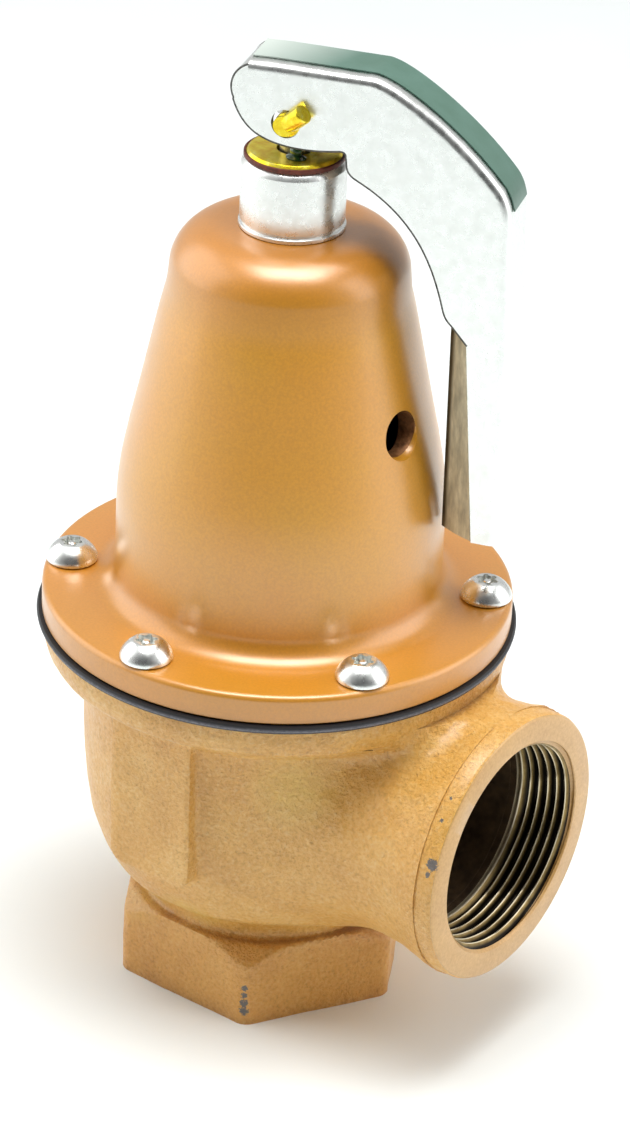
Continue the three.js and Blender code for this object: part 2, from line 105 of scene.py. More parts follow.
def shade(piece, smooth_deg):
    mesh = piece.data
    mesh.shade_smooth()
    mesh.set_sharp_from_angle(angle=math.radians(smooth_deg))


def arc(centre, radius, start_deg, end_deg, steps=8):
    """Points of an arc in the outline's plane, both ends included."""
    angles = np.radians(np.linspace(start_deg, end_deg, steps + 1))
    return [(centre[0] + radius * math.cos(a), centre[1] + radius * math.sin(a)) for a in angles]


def rounded(outline, radius, closed=True):
    """The outline with each corner of more than 25 degrees rounded off."""
    points = [np.array(p, float) for p in outline]
    count = len(points)
    result = []
    for i, point in enumerate(points):
        if not closed and i in (0, count - 1):
            result.append(point)
            continue
        back, ahead = points[i - 1] - point, points[(i + 1) % count] - point
        lengths = np.linalg.norm(back), np.linalg.norm(ahead)
        if min(lengths) < 1e-6:
            continue
        back, ahead = back / lengths[0], ahead / lengths[1]
        turn = math.degrees(math.acos(np.clip(-back @ ahead, -1, 1)))
        if turn < 25:
            result.append(point)
            continue
        reach = min(radius * math.tan(math.radians(turn) / 2), 0.45 * min(lengths))
        start, end = point + back * reach, point + ahead * reach
        for t in np.linspace(0, 1, 5):
            result.append((1 - t) ** 2 * start + 2 * t * (1 - t) * point + t * t * end)
    return [tuple(p) for p in result]


def bands(rows, count, loop=False):
    """Quads between each row of count points and the next, and from the last back to the first with loop."""
    k = np.arange(count)
    after = (k + 1) % count
    lower = np.arange(rows if loop else rows - 1)[:, None] * count
    upper = (lower + count) % (rows * count)
    quads = np.stack([lower + k, lower + after, upper + after, upper + k], -1)
    return quads.reshape(-1, 4).tolist()


def caps(bottom, top, count, last):
    """Fans from one point to the first row of count points, and from another to the last row."""
    fans = []
    for k in range(count):
        after = (k + 1) % count
        fans += [(bottom, after, k), (top, last + k, last + after)]
    return fans


def tube_faces(rows, count):
    """Quads between rows of count points, and one face over each end."""
    return [range(count)[::-1], range((rows - 1) * count, rows * count), *bands(rows, count)]


def turned_arrays(outline, segments=144):
    """Points and faces of an outline of (radius, height) turned about Z. The outline runs anticlockwise, and
    either closes on itself or starts and ends on the axis."""
    full = outline[0][0] < 1e-6
    rows = outline[1:-1] if full else outline
    angles = np.linspace(0, 2 * math.pi, segments, endpoint=False)
    points = [(r * math.cos(a), r * math.sin(a), z) for r, z in rows for a in angles]
    faces = bands(len(rows), segments, loop=not full)
    if full:
        faces += caps(len(points), len(points) + 1, segments, len(points) - segments)
        points += [(0, 0, outline[0][1]), (0, 0, outline[-1][1])]
    return np.array(points), faces


def turned(name, outline, segments=144, smooth_deg=35, soften=0.0):
    shape = rounded(outline, soften, closed=outline[0][0] > 1e-6) if soften else outline
    return mesh_object(name, *turned_arrays(shape, segments), smooth_deg)


def rod(radius, low, high):
    return [(0, low), (radius, low), (radius, high), (0, high)]


def along_x(points, z=0.0):
    """Points built up +Z, laid along +X at a height."""
    return np.stack([points[:, 2], points[:, 1], z - points[:, 0]], -1)


def outwards(piece, split=True):
    """Turns the faces outwards, and splits those of more than four corners."""
    bm = bmesh.new()
    bm.from_mesh(piece.data)
    bmesh.ops.recalc_face_normals(bm, faces=bm.faces)
    if split:
        bmesh.ops.triangulate(bm, faces=[f for f in bm.faces if len(f.verts) > 4])
    bm.to_mesh(piece.data)
    bm.free()
    return piece


def cut(piece, cutters, operation="DIFFERENCE"):
    """Cuts a piece by closed meshes, one after another, and throws the cutters away."""
    for cutter in cutters:
        modifier = piece.modifiers.new("cut", "BOOLEAN")
        modifier.operation = operation
        modifier.solver = "MANIFOLD"
        modifier.object = cutter
        apply_modifiers(piece)
        bpy.data.objects.remove(cutter)


def apply_modifiers(piece):
    graph = bpy.context.evaluated_depsgraph_get()
    mesh = bpy.data.meshes.new_from_object(piece.evaluated_get(graph))
    piece.modifiers.clear()
    old = piece.data
    piece.data = mesh
    bpy.data.meshes.remove(old)


# ---------------------------------------------------------------- solid fields, for the casting
def outline_field(outline):
    """Signed distance to a closed outline of (radius, height), negative inside, as a function of both."""
    cell, low, shape = 0.3, (-3.0, -16.0), (290, 420)
    r = low[0] + cell * np.arange(shape[0])[:, None]
    h = low[1] + cell * np.arange(shape[1])[None, :]
    nearest = np.full(shape, 1e9)
    inside = np.zeros(shape, bool)
    for (ar, ah), (br, bh) in zip(outline, outline[1:] + outline[:1]):
        dr, dh = br - ar, bh - ah
        t = np.clip(((r - ar) * dr + (h - ah) * dh) / max(dr * dr + dh * dh, 1e-9), 0, 1)
        nearest = np.minimum(nearest, (r - ar - t * dr) ** 2 + (h - ah - t * dh) ** 2)
        if ah != bh:
            crosses = (h > min(ah, bh)) & (h <= max(ah, bh))
            inside ^= crosses & (r < ar + (h - ah) * dr / dh)
    table = np.where(inside, -1, 1) * np.sqrt(nearest)

    def field(radius, height):
        i = np.clip((radius - low[0]) / cell, 0, shape[0] - 1.001)
        k = np.clip((height - low[1]) / cell, 0, shape[1] - 1.001)
        i0, k0 = i.astype(int), k.astype(int)
        u, v = i - i0, k - k0
        near = table[i0, k0] * (1 - v) + table[i0, k0 + 1] * v
        far = table[i0 + 1, k0] * (1 - v) + table[i0 + 1, k0 + 1] * v
        return near * (1 - u) + far * u

    return field


def join(a, b, blend):
    """The union of two fields, with a fillet about as wide as blend."""
    h = np.clip(0.5 + 0.5 * (b - a) / blend, 0, 1)
    return b * (1 - h) + a * h - blend * h * (1 - h)


def meet(a, b, blend):
    """The intersection of two fields, with its edge rounded."""
    return -join(-a, -b, blend)


def surface_net(field, low, step):
    """The zero surface of a sampled field, as points and quads: one point in each cell that it crosses."""
    cells = tuple(n - 1 for n in field.shape)
    total = np.zeros(cells + (3,), np.float32)
    count = np.zeros(cells, np.float32)
    edges = []
    for axis in range(3):
        first = np.moveaxis(field, axis, 0)[:-1]
        second = np.moveaxis(field, axis, 0)[1:]
        found = np.argwhere((first < 0) != (second < 0))
        a, b = first[tuple(found.T)], second[tuple(found.T)]
        along, across, up = axis, *[k for k in range(3) if k != axis]
        place = np.empty((len(found), 3), np.float32)
        place[:, along] = found[:, 0] + a / (a - b)
        place[:, across] = found[:, 1]
        place[:, up] = found[:, 2]
        corner = np.empty((len(found), 3), int)
        corner[:, along], corner[:, across], corner[:, up] = found.T
        quads = []
        for s, t in ((1, 1), (0, 1), (0, 0), (1, 0)):
            cell = corner.copy()
            cell[:, across] -= s
            cell[:, up] -= t
            np.add.at(total, tuple(cell.T), place)
            np.add.at(count, tuple(cell.T), 1)
            quads.append(cell)
        turns = (a < 0) if axis != 1 else (a >= 0)
        edges.append((quads, turns))
    index = np.full(cells, -1, np.int64)
    active = np.argwhere(count > 0)
    index[tuple(active.T)] = np.arange(len(active))
    points = total[tuple(active.T)] / count[tuple(active.T)][:, None]
    faces = []
    for quads, turns in edges:
        corners = np.stack([index[tuple(q.T)] for q in quads], -1)
        faces.append(np.where(turns[:, None], corners, corners[:, ::-1]))
    return points * step + low, np.concatenate(faces)


def settled(points, field):
    """Points moved onto the field's zero surface, and the surface's normals there."""
    reach = 0.15
    for _ in range(3):
        slope = np.stack([
            field(points + reach * axis) - field(points - reach * axis) for axis in np.eye(3)
        ], -1) / (2 * reach)
        size = np.maximum(np.linalg.norm(slope, axis=1, keepdims=True), 0.3)
        points = points - slope / size * np.clip(field(points)[:, None] / size, -0.5, 0.5)
    return points, slope / size


# ---------------------------------------------------------------- pipe threads
PITCH = 25.4 / 11.5
TAPER = 1 / 32
THREAD_DEPTH = 0.66 * PITCH
THREAD_SEGMENTS, ROWS_PER_TURN = 160, 10


def thread_cutter(bore, length, mouth, chamfer):
    """The solid that cuts a tapered pipe thread, built up +Z from the deep end to the mouth: a helical ridge
    stands out of a core whose radius is the bore at the mouth. It runs on past the mouth as a chamfer."""
    rows, segments = int(length / PITCH * ROWS_PER_TURN), THREAD_SEGMENTS
    heights = np.linspace(0, length, rows + 1)
    angles = np.linspace(0, 2 * math.pi, segments, endpoint=False)
    h, a = np.meshgrid(heights, angles, indexing="ij")
    phase = (h / PITCH - a / (2 * math.pi)) % 1.0
    tooth = np.clip(1.233 - 2.605 * np.abs(phase - 0.5), 0, 1)
    runout = np.clip((h - 1.5) / (1.5 * PITCH), 0, 1)
    radius = bore - (length - h) * TAPER + THREAD_DEPTH * tooth * runout
    cone = mouth - (length - h)
    radius = np.where(length - h < chamfer, np.maximum(radius, cone), radius)
    grid = np.stack([radius * np.cos(a), radius * np.sin(a), h], -1).reshape(-1, 3)
    rim = [(mouth * math.cos(t), mouth * math.sin(t), length + 2) for t in angles]
    points = np.concatenate([grid, rim, [(0, 0, 0), (0, 0, length + 2)]])
    last = len(grid)
    return points, bands(rows + 2, segments) + caps(last + segments, last + segments + 1, segments, last)


# ---------------------------------------------------------------- body casting
HEX_FLATS, HEX_CORNER, HEX_TOP = 59.2, 33.6, 18.8
BOWL_R, BOWL_WALL, BOWL_FLOOR = 41.5, 4.0, 30.0
NOZZLE_R, NOZZLE_BORE, NOZZLE_TOP = 20.5, 14.5, 50.0
PAD_HALF, PAD_FACE, PAD_MIDDLE, PAD_REACH, PAD_CORNER = 10.5, 42.6, 59.3, 20.8, 3.0
OUTLET_RIM, OUTLET_BAND, OUTLET_BORE, OUTLET_MOUTH, OUTLET_DEPTH = 29.8, 4.2, 22.5, 23.9, 15.6
INLET_BORE, INLET_MOUTH, INLET_DEPTH = 19.3, 21.2, 21.0
BODY_TOP, SEAT_RECESS = 84.9, 17.6

BOWL_SHAPE = outline_field([
    (0, 6), (27.4, 6), (27.7, 18.5), *arc((33.5, 19.8), 5.6, 172, 118, 6), (34.6, 27.2), (37.2, 32.3),
    (39.4, 38.5), (40.5, 46), (BOWL_R - 0.7, 54), (BOWL_R - 0.3, 66), (BOWL_R + 0.2, 73), (44.2, 75.6), (49, 78.2),
    (FLANGE_R - 0.8, 79.3), (FLANGE_R - 0.6, 80.4), (FLANGE_R - 0.2, 81.4), (FLANGE_R - 0.2, 88), (0, 88),
])
NECK_SHAPE = outline_field([
    (0, 15), (27.6, 15), (27.7, 44), (28.3, 51), (29.6, 57), (30.1, 60), (30.1, 68), (0, 68),
])
CHAMBER_SHAPE = outline_field([
    (NOZZLE_R, BOWL_FLOOR + 3), (NOZZLE_R + 3, BOWL_FLOOR), (30, BOWL_FLOOR), (33.6, 33.5), (36.4, 42),
    (BOWL_R - BOWL_WALL, 54), (BOWL_R - BOWL_WALL, 90), (0, 90), (0, NOZZLE_TOP), (NOZZLE_R, NOZZLE_TOP),
])


def cast_field(p):
    """The casting before machining: bowl, hexagon, outlet neck and the two flat pads, less the chamber."""
    x, y, z = p[..., 0], p[..., 1], p[..., 2]
    bowl = BOWL_SHAPE(np.hypot(x, y), z)
    neck = NECK_SHAPE(np.hypot(y, z - OUTLET_Z), x)
    sides = [np.abs(x * math.sin(a) - y * math.cos(a)) - HEX_FLATS / 2 for a in np.radians((0, 60, 120))]
    hexagon = meet(meet(sides[0], sides[1], 0.8), sides[2], 0.8)
    radial = np.hypot(x, y)
    crown = np.maximum(radial - HEX_CORNER, (radial + z - HEX_CORNER - HEX_TOP + 3.6) * math.sqrt(0.5))
    hexagon = meet(meet(hexagon, crown, 0.4), z - HEX_TOP, 0.8)
    hexagon = np.maximum(hexagon, -z - 2)
    over = np.stack([np.abs(x) - PAD_HALF + PAD_CORNER, np.abs(z - PAD_MIDDLE) - PAD_REACH + PAD_CORNER])
    plate = np.hypot(*np.maximum(over, 0)) + np.minimum(over.max(0), 0) - PAD_CORNER
    block = meet(plate, np.abs(y) - PAD_FACE, 0.7)
    outside = join(bowl, block, 1.0)
    outside = join(outside, np.where(x > 10, neck, 50.0), 9.0)
    outside = join(outside, hexagon, 1.3)
    return meet(outside, -CHAMBER_SHAPE(radial, z), 1.0)


def body_casting():
    step = 0.8
    low = np.array([BODY_LOW[0] - 2, BODY_LOW[1] - 2, -3.5])
    high = np.array([OUTLET_FACE + 5, BODY_HIGH[1] + 2, 90])
    axes = [np.arange(a, b, step, dtype=np.float32) for a, b in zip(low, high)]
    x, y, z = np.meshgrid(*axes, indexing="ij")
    field = np.empty(x.shape, np.float32)
    for i in range(len(axes[0])):
        field[i] = cast_field(np.stack([x[i], y[i], z[i]], -1))
    points, faces = surface_net(field, low, step)
    points, normals = settled(points.astype(float), cast_field)
    points += normals * sand_relief(points)[:, None]
    piece = mesh_object("valve_body_casting", points, faces.tolist(), 60)
    cut(piece, body_cutters())
    shade(piece, 40)
    return piece


def sand_relief(points):
    """How far the sand mould let the skin stand proud, in millimetres: rougher towards the outlet neck."""
    rough = np.clip((points[:, 0] - 5) / 30, 0, 1) * np.clip((points[:, 2] - 38) / 20, 0, 1)
    relief = []
    for p, share in zip(points.tolist(), rough.tolist()):
        wave = noise.noise(Vector(p) / 11.0) * 0.30
        grain = noise.noise(Vector(p) / 2.3) * (0.08 + 0.14 * share)
        relief.append(wave + grain)
    return np.array(relief)


def body_cutters():
    """Everything that is machined after casting, as closed solids."""
    face, band = OUTLET_FACE, OUTLET_FACE - OUTLET_BAND
    facing = turned_arrays([
        (0, face), (OUTLET_RIM - 0.9, face), (OUTLET_RIM - 0.3, face - 0.3), (OUTLET_RIM, face - 0.9),
        (OUTLET_RIM, band), (OUTLET_RIM + 8, band), (OUTLET_RIM + 8, face + 8), (0, face + 8),
    ], 192)
    depth = OUTLET_DEPTH
    outlet = thread_cutter(OUTLET_BORE, depth, OUTLET_MOUTH, 1.5)
    root = OUTLET_BORE - depth * TAPER
    end = face - depth + 0.5
    throat = turned_arrays([(0, 28), (root - 1.2, 28), (root - 0.2, end), (0, end)], 96)
    inlet = thread_cutter(INLET_BORE, INLET_DEPTH, INLET_MOUTH, 2.0)
    inlet_points = inlet[0] * (1, 1, -1) + (0, 0, INLET_DEPTH)
    inlet_faces = [f[::-1] for f in inlet[1]]
    waist = INLET_BORE - 1.2
    return [
        mesh_object("facing", along_x(facing[0], OUTLET_Z), facing[1]),
        mesh_object("outlet_thread", along_x(outlet[0] + (0, 0, face - depth), OUTLET_Z), outlet[1]),
        mesh_object("throat", along_x(throat[0], OUTLET_Z), throat[1]),
        mesh_object("inlet_thread", inlet_points, inlet_faces),
        turned("passage", [
            (0, 20), (waist, 20), (waist, 22), (NOZZLE_BORE, 26), (NOZZLE_BORE, 60), (0, 60),
        ], 96),
        turned("seat", rod(SEAT_RECESS, NOZZLE_TOP - 3.2, 60), 96),
        turned("top", rod(70, BODY_TOP, 95), 64),
        turned("floor", rod(70, -9, 0), 64),
        turned("rim", [(FLANGE_R, 81), (70, 81), (70, 96), (FLANGE_R, 96)], 192),
        *screw_holes(SCREW_HOLE, 76, 90),
    ]


# ---------------------------------------------------------------- flange screws
SCREW_TURNS = (12, 41, 3, 27, 50, 19)
SCREW_HOLE = 3.15


def screw_places():
    places = []
    for i in range(6):
        low, high = node_box(f"flange_screw_{i + 1}")
        places.append(tuple(((low + high) / 2)[:2]))
    return places


def screw_holes(radius, low, high):
    """Cutters for the six holes that the screws pass through."""
    points, faces = turned_arrays(rod(radius, low, high), 32)
    return [mesh_object("hole", points + (x, y, 0), faces) for x, y in screw_places()]


def flange_screw(i, place):
    """Button-head screw with a six-lobed recess round a centre pin, its shank down through the flange."""
    seat = FLANGE_TOP + 0.1
    radius, rim, height, crown = 5.55, 0.9, 4.1, 2.75
    centre = (crown ** 2 + height ** 2 - radius ** 2 - rim ** 2) / (2 * (height - rim))
    ball = math.hypot(radius, rim - centre)
    start, end = math.degrees(math.asin((rim - centre) / ball)), math.degrees(math.acos(crown / ball))
    tip = 77.4
    head = [(x, seat + z) for x, z in arc((0, centre), ball, start, end, 12)]
    outline = [
        (0, tip), (2.35, tip), (2.95, tip + 0.7), (2.95, seat), (radius - 0.35, seat), (radius, seat + 0.3),
        (radius, seat + rim - 0.2), *head[1:], (0, seat + height),
    ]
    screw = turned(f"flange_screw_{i + 1}_fine", outline, 96, 30)
    floor, top, steps = seat + height - 2.1, seat + height + 1, 96
    angles = np.linspace(0, 2 * math.pi, steps, endpoint=False)
    reach = 2.02 + 0.36 * np.cos(6 * angles)
    inner = 0.85
    rows = [(reach, top), (reach, floor + 0.3), (reach - 0.3, floor), (np.full(steps, inner), floor),
            (np.full(steps, inner), floor + 1.7), (np.full(steps, inner - 0.25), floor + 1.9)]
    points = [(r * math.cos(a), r * math.sin(a), z) for reaches, z in rows for r, a in zip(reaches, angles)]
    points += [(0, 0, floor + 1.9), (0, 0, top)]
    faces = [quad[::-1] for quad in bands(len(rows), steps)]
    faces += [fan[::-1] for fan in caps(len(points) - 1, len(points) - 2, steps, (len(rows) - 1) * steps)]
    cut(screw, [mesh_object("recess", points, faces)])
    shade(screw, 30)
    turn = Matrix.Rotation(math.radians(SCREW_TURNS[i]), 4, "Z")
    screw.data.transform(Matrix.Translation(Vector((*place, 0)) * MM) @ turn)
    return screw


# ---------------------------------------------------------------- bonnet
WEEP_Z, WEEP_R, WEEP_DEG = 137.6, 4.95, -1.4


def bonnet():
    bottom, top = BONNET_LOW[2], BONNET_HIGH[2]
    radius = FLANGE_R
    outside = [
        (radius - 0.5, bottom), (radius, bottom + 0.5), *arc((radius - 1.3, FLANGE_TOP - 1.3), 1.3, 0, 90, 6),
        *arc((39.9, FLANGE_TOP + 5.0), 5.0, 270, 182, 12), (34.85, 102), (34.8, 110),
        *curve([(34.8, 110.5), (34.8, 118.1), (33.1, 126)], 10),
        (32.3, 130), (31.4, 134), (30.5, 138), (29.65, 142), (28.8, 146),
        (27.95, 150), (27.1, 154), (26.2, 158), (25.2, 162), *arc((14.9, top - 10), 10.0, 12, 90, 14),
    ]
    inside = [
        (6.9, top), (6.9, top - 11), (18.6, top - 11), (22.3, 158), (29.1, 122), (30.6, 112), (30.6, 97),
        (37, 93.5), (37, bottom),
    ]
    piece = turned("bonnet_shell", outside + inside, 256, 40)
    weep = turned_arrays([
        (0, 20), (WEEP_R, 20), (WEEP_R, 30.0), (WEEP_R + 0.3, 30.5), (WEEP_R + 0.3, 45), (0, 45),
    ], 96)
    spin = np.array(Matrix.Rotation(math.radians(WEEP_DEG), 3, "Z"))
    cutters = [mesh_object("weep", along_x(weep[0]) @ spin.T + (0, 0, WEEP_Z), weep[1])]
    cutters += screw_holes(SCREW_HOLE + 0.05, bottom - 2, 97)
    cut(piece, cutters)
    shade(piece, 40)
    return piece


# ---------------------------------------------------------------- diaphragm, cap and washers
FOLD_IN, FOLD_OUT, FOLD_SECTORS = 27.0, 37.2, 16


def diaphragm_outlines():
    """Outlines of the clamped rim, the rolling fold and the clamped centre."""
    radius, _, top = node_box("diaphragm")[1]
    under = top - 1.45
    rim = [
        (FOLD_OUT, under), (radius - 0.35, under), *arc((radius - 0.45, under + 0.72), 0.45, -60, 60, 6),
        (radius - 0.35, top), (FOLD_OUT, top),
    ]
    fold = [
        (FOLD_IN, under), *arc((32, under - 2.0), 2.9, 200, 340, 14), (FOLD_OUT, under),
        (FOLD_OUT, top), *arc((32, under - 1.6), 1.7, 340, 200, 10), (FOLD_IN, top),
    ]
    centre = [(6.6, under), (FOLD_IN, under), (FOLD_IN, top), (6.6, top)]
    return rim, fold, centre


def fold_sector(i, outline):
    """One sector of the diaphragm's fold."""
    steps, count = 10, len(outline)
    start = 2 * math.pi * i / FOLD_SECTORS
    points = [(r * math.cos(a), r * math.sin(a), z)
              for a in np.linspace(start, start + 2 * math.pi / FOLD_SECTORS, steps + 1) for r, z in outline]
    faces = tube_faces(steps + 1, count)
    return outwards(mesh_object(f"diaphragm_fold_{i + 1}", points, faces, 40))


def install_diaphragm(rubber):
    """The rim stays with the body, the centre lifts with the disc, and the fold lies between them in sixteen
    sectors.
    """
    rim, fold, centre = diaphragm_outlines()
    install(turned("diaphragm_sheet", rim, 224, 30), "valve_body", rubber, "black_rubber", "diaphragm")
    install(turned("diaphragm_centre", centre, 144, 30), "disc_assembly", rubber, "black_rubber")
    for i in range(FOLD_SECTORS):
        piece = fold_sector(i, fold)
        piece.data.transform(Matrix.Translation(Vector(AXIS) * MM))
        piece.data.materials.append(rubber)
        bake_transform(piece)


def seal_cap():
    bottom, top = CAP_LOW[2], CAP_HIGH[2]
    radius, inner = 10.8, 9.7
    outline = [
        (inner, bottom), (radius + 0.25, bottom), (radius + 0.25, bottom + 0.85),
        (radius - 0.3, bottom + 1.05), (radius - 0.3, bottom + 1.45), (radius, bottom + 1.7),
        (radius, top - 1.3), (radius - 0.35, top - 0.55),
        (radius - 1.0, top), (3.8, top), (3.8, top - 1.1), (inner, top - 1.1),
    ]
    return turned("seal_cap_fine", outline, 192, 30, soften=0.22)


def seal_ring():
    low, high = node_box("seal_ring")
    outline = [(9.8, low[2]), (10.35, low[2]), (10.35, high[2] - 0.2), (9.8, high[2] - 0.2)]
    return turned("seal_ring_fine", outline, 160, 40, soften=0.25)


def cap_washer():
    low, high = node_box("cap_washer")
    bottom, top = low[2], high[2]
    outline = [
        (3.7, bottom), (9.8, bottom), (9.8, top - 0.7), (9.3, top - 0.1), (8.2, top), (6.2, top - 0.25),
        (5.0, top - 0.1),
        (3.7, top),
    ]
    return turned("cap_washer_fine", outline, 160, 40, soften=0.15)


# ---------------------------------------------------------------- stem, spring and the parts inside
def outline_of(node, facets):
    """The outline of (radius, height) that a turned CAD node was made from, read where a plane through the axis
    cuts it half-way round one facet."""
    half = math.pi / facets
    mesh = frame["nodes"][node].data
    mesh.calc_loop_triangles()
    corners = np.array([mesh.vertices[i].co for t in mesh.loop_triangles for i in t.vertices]) / MM - AXIS
    corners = corners.reshape(-1, 3, 3)
    side = corners[..., 1] * math.cos(half) - corners[..., 0] * math.sin(half)
    radius = (corners[..., 0] * math.cos(half) + corners[..., 1] * math.sin(half)) / math.cos(half)
    links = {}
    for s, r, z in zip(side, radius, corners[..., 2]):
        ends = []
        for i, j in ((0, 1), (1, 2), (2, 0)):
            if (s[i] < 0) != (s[j] < 0):
                t = s[i] / (s[i] - s[j])
                ends.append(np.array([r[i] + t * (r[j] - r[i]), z[i] + t * (z[j] - z[i])]))
        if len(ends) < 2 or max(ends[0][0], ends[1][0]) < 1e-3:
            continue
        for a, b in (ends, ends[::-1]):
            if a[0] < 0:
                a += (b - a) * (a[0] / (a[0] - b[0]))
        a, b = [tuple(np.round(e, 2) + 0.0) for e in ends]
        if a != b:
            links.setdefault(a, []).append(b)
            links.setdefault(b, []).append(a)
    return chained(links)


def chained(links):
    """Linked points in order, anticlockwise, from the axis if it ends there; points on a line go."""
    loose = [p for p, others in links.items() if len(others) == 1]
    here = min(loose, key=lambda p: p[1]) if loose else min(links)
    line, before = [here], None
    while True:
        ahead = [p for p in links[here] if p != before]
        if not ahead or (len(line) > 2 and ahead[0] == line[0]):
            break
        before, here = here, ahead[0]
        line.append(here)
        if len(line) > len(links):
            break
    points = [np.array(p) for p in line]
    area = sum(a[0] * b[1] - b[0] * a[1] for a, b in zip(points, points[1:] + points[:1]))
    if area < 0 and not loose:
        points.reverse()
    kept = []
    for i, p in enumerate(points):
        a, b = points[i - 1], points[(i + 1) % len(points)]
        ends = loose and i in (0, len(points) - 1)
        if ends or abs((p - a)[0] * (b - p)[1] - (p - a)[1] * (b - p)[0]) > 0.02:
            kept.append(tuple(p))
    return kept


def inner_part(node, facets=20, soften=0.25):
    """A finely turned copy of a turned CAD node, its corners eased."""
    return turned(f"{node}_fine", outline_of(node, facets), 96, 35, soften)


def cross_hole(radius, turn=0.0):
    """A rod across the valve axis at the pivot's height, to cut the split pin's hole."""
    points, faces = turned_arrays(rod(radius, -12, 12), 64)
    spin = Matrix.Rotation(turn, 3, "Z") @ Matrix.Rotation(math.radians(90), 3, "X")
    return mesh_object("cross_hole", points @ np.array(spin).T + (0, 0, PIN_Z), faces)


def stem():
    piece = inner_part("stem", 24, 0.35)
    cut(piece, [cross_hole(2.35, LEVER_TURN)])
    shade(piece, 35)
    return piece


def spring():
    """The coil, with closed ends ground flat."""
    low, high = node_box("spring")
    mean, wire, turns, dead = 15.6, 2.4, 6.5, 0.75
    steps, sides = int(turns * 56), 20
    points = []
    for t in np.linspace(0, 1, steps + 1):
        climb = np.clip((t * turns - dead) / (turns - 2 * dead), 0, 1)
        z = low[2] + wire * 0.4 + climb * (high[2] - low[2] - wire * 0.8)
        a = t * turns * 2 * math.pi
        for b in np.linspace(0, 2 * math.pi, sides, endpoint=False):
            r = mean + wire * math.cos(b)
            height = np.clip(z + wire * math.sin(b), low[2], high[2])
            points.append((r * math.cos(a), r * math.sin(a), height))
    return outwards(mesh_object("spring_coil", points, tube_faces(steps + 1, sides), 50))


# ---------------------------------------------------------------- lever
# The lever lies in its own frame: X away from the stem, Y across the channel, Z up.
LEVER_DIRECTION = JOINTS["lever_pivot"]["axis"]
LEVER_TURN = math.atan2(LEVER_DIRECTION[0], -LEVER_DIRECTION[1])
LEVER_HALF, SHEET, BEND = 7.3, 1.6, 1.8
GRIP_FOLD, GRIP_EDGE, GRIP_TOP = 41.6, 36.2, 158.5
LABEL_SIDES = (-4.2, 5.3)


def curve(points, steps):
    """A Bezier curve of three or four control points."""
    p = np.array(points, float)
    t = np.linspace(0, 1, steps + 1)[:, None]
    degree = len(p) - 1
    weights = [math.comb(degree, i) * (1 - t) ** (degree - i) * t ** i for i in range(degree + 1)]
    return sum(w * q for w, q in zip(weights, p)).tolist()


def web_line():
    """The web's outer line, from the nose over the arm and down the back of the grip."""
    z = PIN_Z
    return [
        [-8.2, z + 12], [-3, z + 12.2], [7, z + 12.2],
        *curve([(17.2, z + 12.2), (21.5, z + 12.2), (35.5, z + 3.3), (44.6, z - 7.2)], 30),
        *curve([(44.6, z - 7.2), (46.9, z - 9.9), (47.1, z - 14.5)], 12)[1:],
        [47.6, 173], [48.2, 160], [48.5, 140], [48.9, FOOT],
    ]


def cheek_edge():
    """The cheeks' free edge, from the foot back up to the nose."""
    z = PIN_Z
    return [
        [GRIP_FOLD + 1.8, FOOT], [GRIP_FOLD - 1.8, GRIP_TOP - 0.5], [36.6, GRIP_TOP + 3.1],
        *curve([(35.5, 162.7), (34.8, 163.5), (34.4, 164.8)], 5),
        *curve([(34.4, 164.8), (32.0, 173.5), (28.4, 183.7), (15.2, 190)], 28)[1:],
        *curve([(15.2, 190), (13.2, 190.9), (12.9, 192.6)], 5)[1:], [12.7, z - 5.4],
        *curve([(12.6, z - 4.7), (12.4, z - 4.1), (11.5, z - 4.2)], 4),
        *curve([(11.5, z - 4.2), (0, z - 6.3), (-6.2, z - 3)], 20)[1:],
        *curve([(-6.2, z - 3), (-9.6, z - 1.0), (-11.2, z + 3.6)], 8)[1:],
        *[list(p) for p in arc((-6.2, z + 6.4), 5.5, 206, 112, 14)],
    ]


def offset_line(line, distance):
    """An open line moved sideways by a distance, to its right when walked in order."""
    p = np.array(line, float)
    along = np.empty_like(p)
    along[1:-1] = p[2:] - p[:-2]
    along[0], along[-1] = p[1] - p[0], p[-1] - p[-2]
    along /= np.linalg.norm(along, axis=1, keepdims=True)
    return (p + distance * np.stack([along[:, 1], -along[:, 0]], -1)).tolist()


def swung(piece):
    """Turns a piece drawn in the lever's own frame to where the lever points."""
    piece.data.transform(Matrix.Rotation(LEVER_TURN, 4, "Z"))
    return piece


def skinned(name, sections):
    """A solid skinned over parallel outlines of (x, z), given as (y, outline) in order of y."""
    count = len(sections[0][1])
    points = [(x, y, z) for y, outline in sections for x, z in outline]
    return outwards(mesh_object(name, points, tube_faces(len(sections), count)))


def channel(name, half, inset, bend, edge):
    """The channel's solid between its cheeks, the web's two corners rounded."""
    quarter = np.linspace(0, math.pi / 2, 9)
    side = [(half - bend * (1 - math.sin(a)), bend * (1 - math.cos(a))) for a in quarter]
    levels = [(-y, drop) for y, drop in side[::-1]] + side
    return skinned(name, [(y, offset_line(web_line(), inset + drop) + edge) for y, drop in levels])


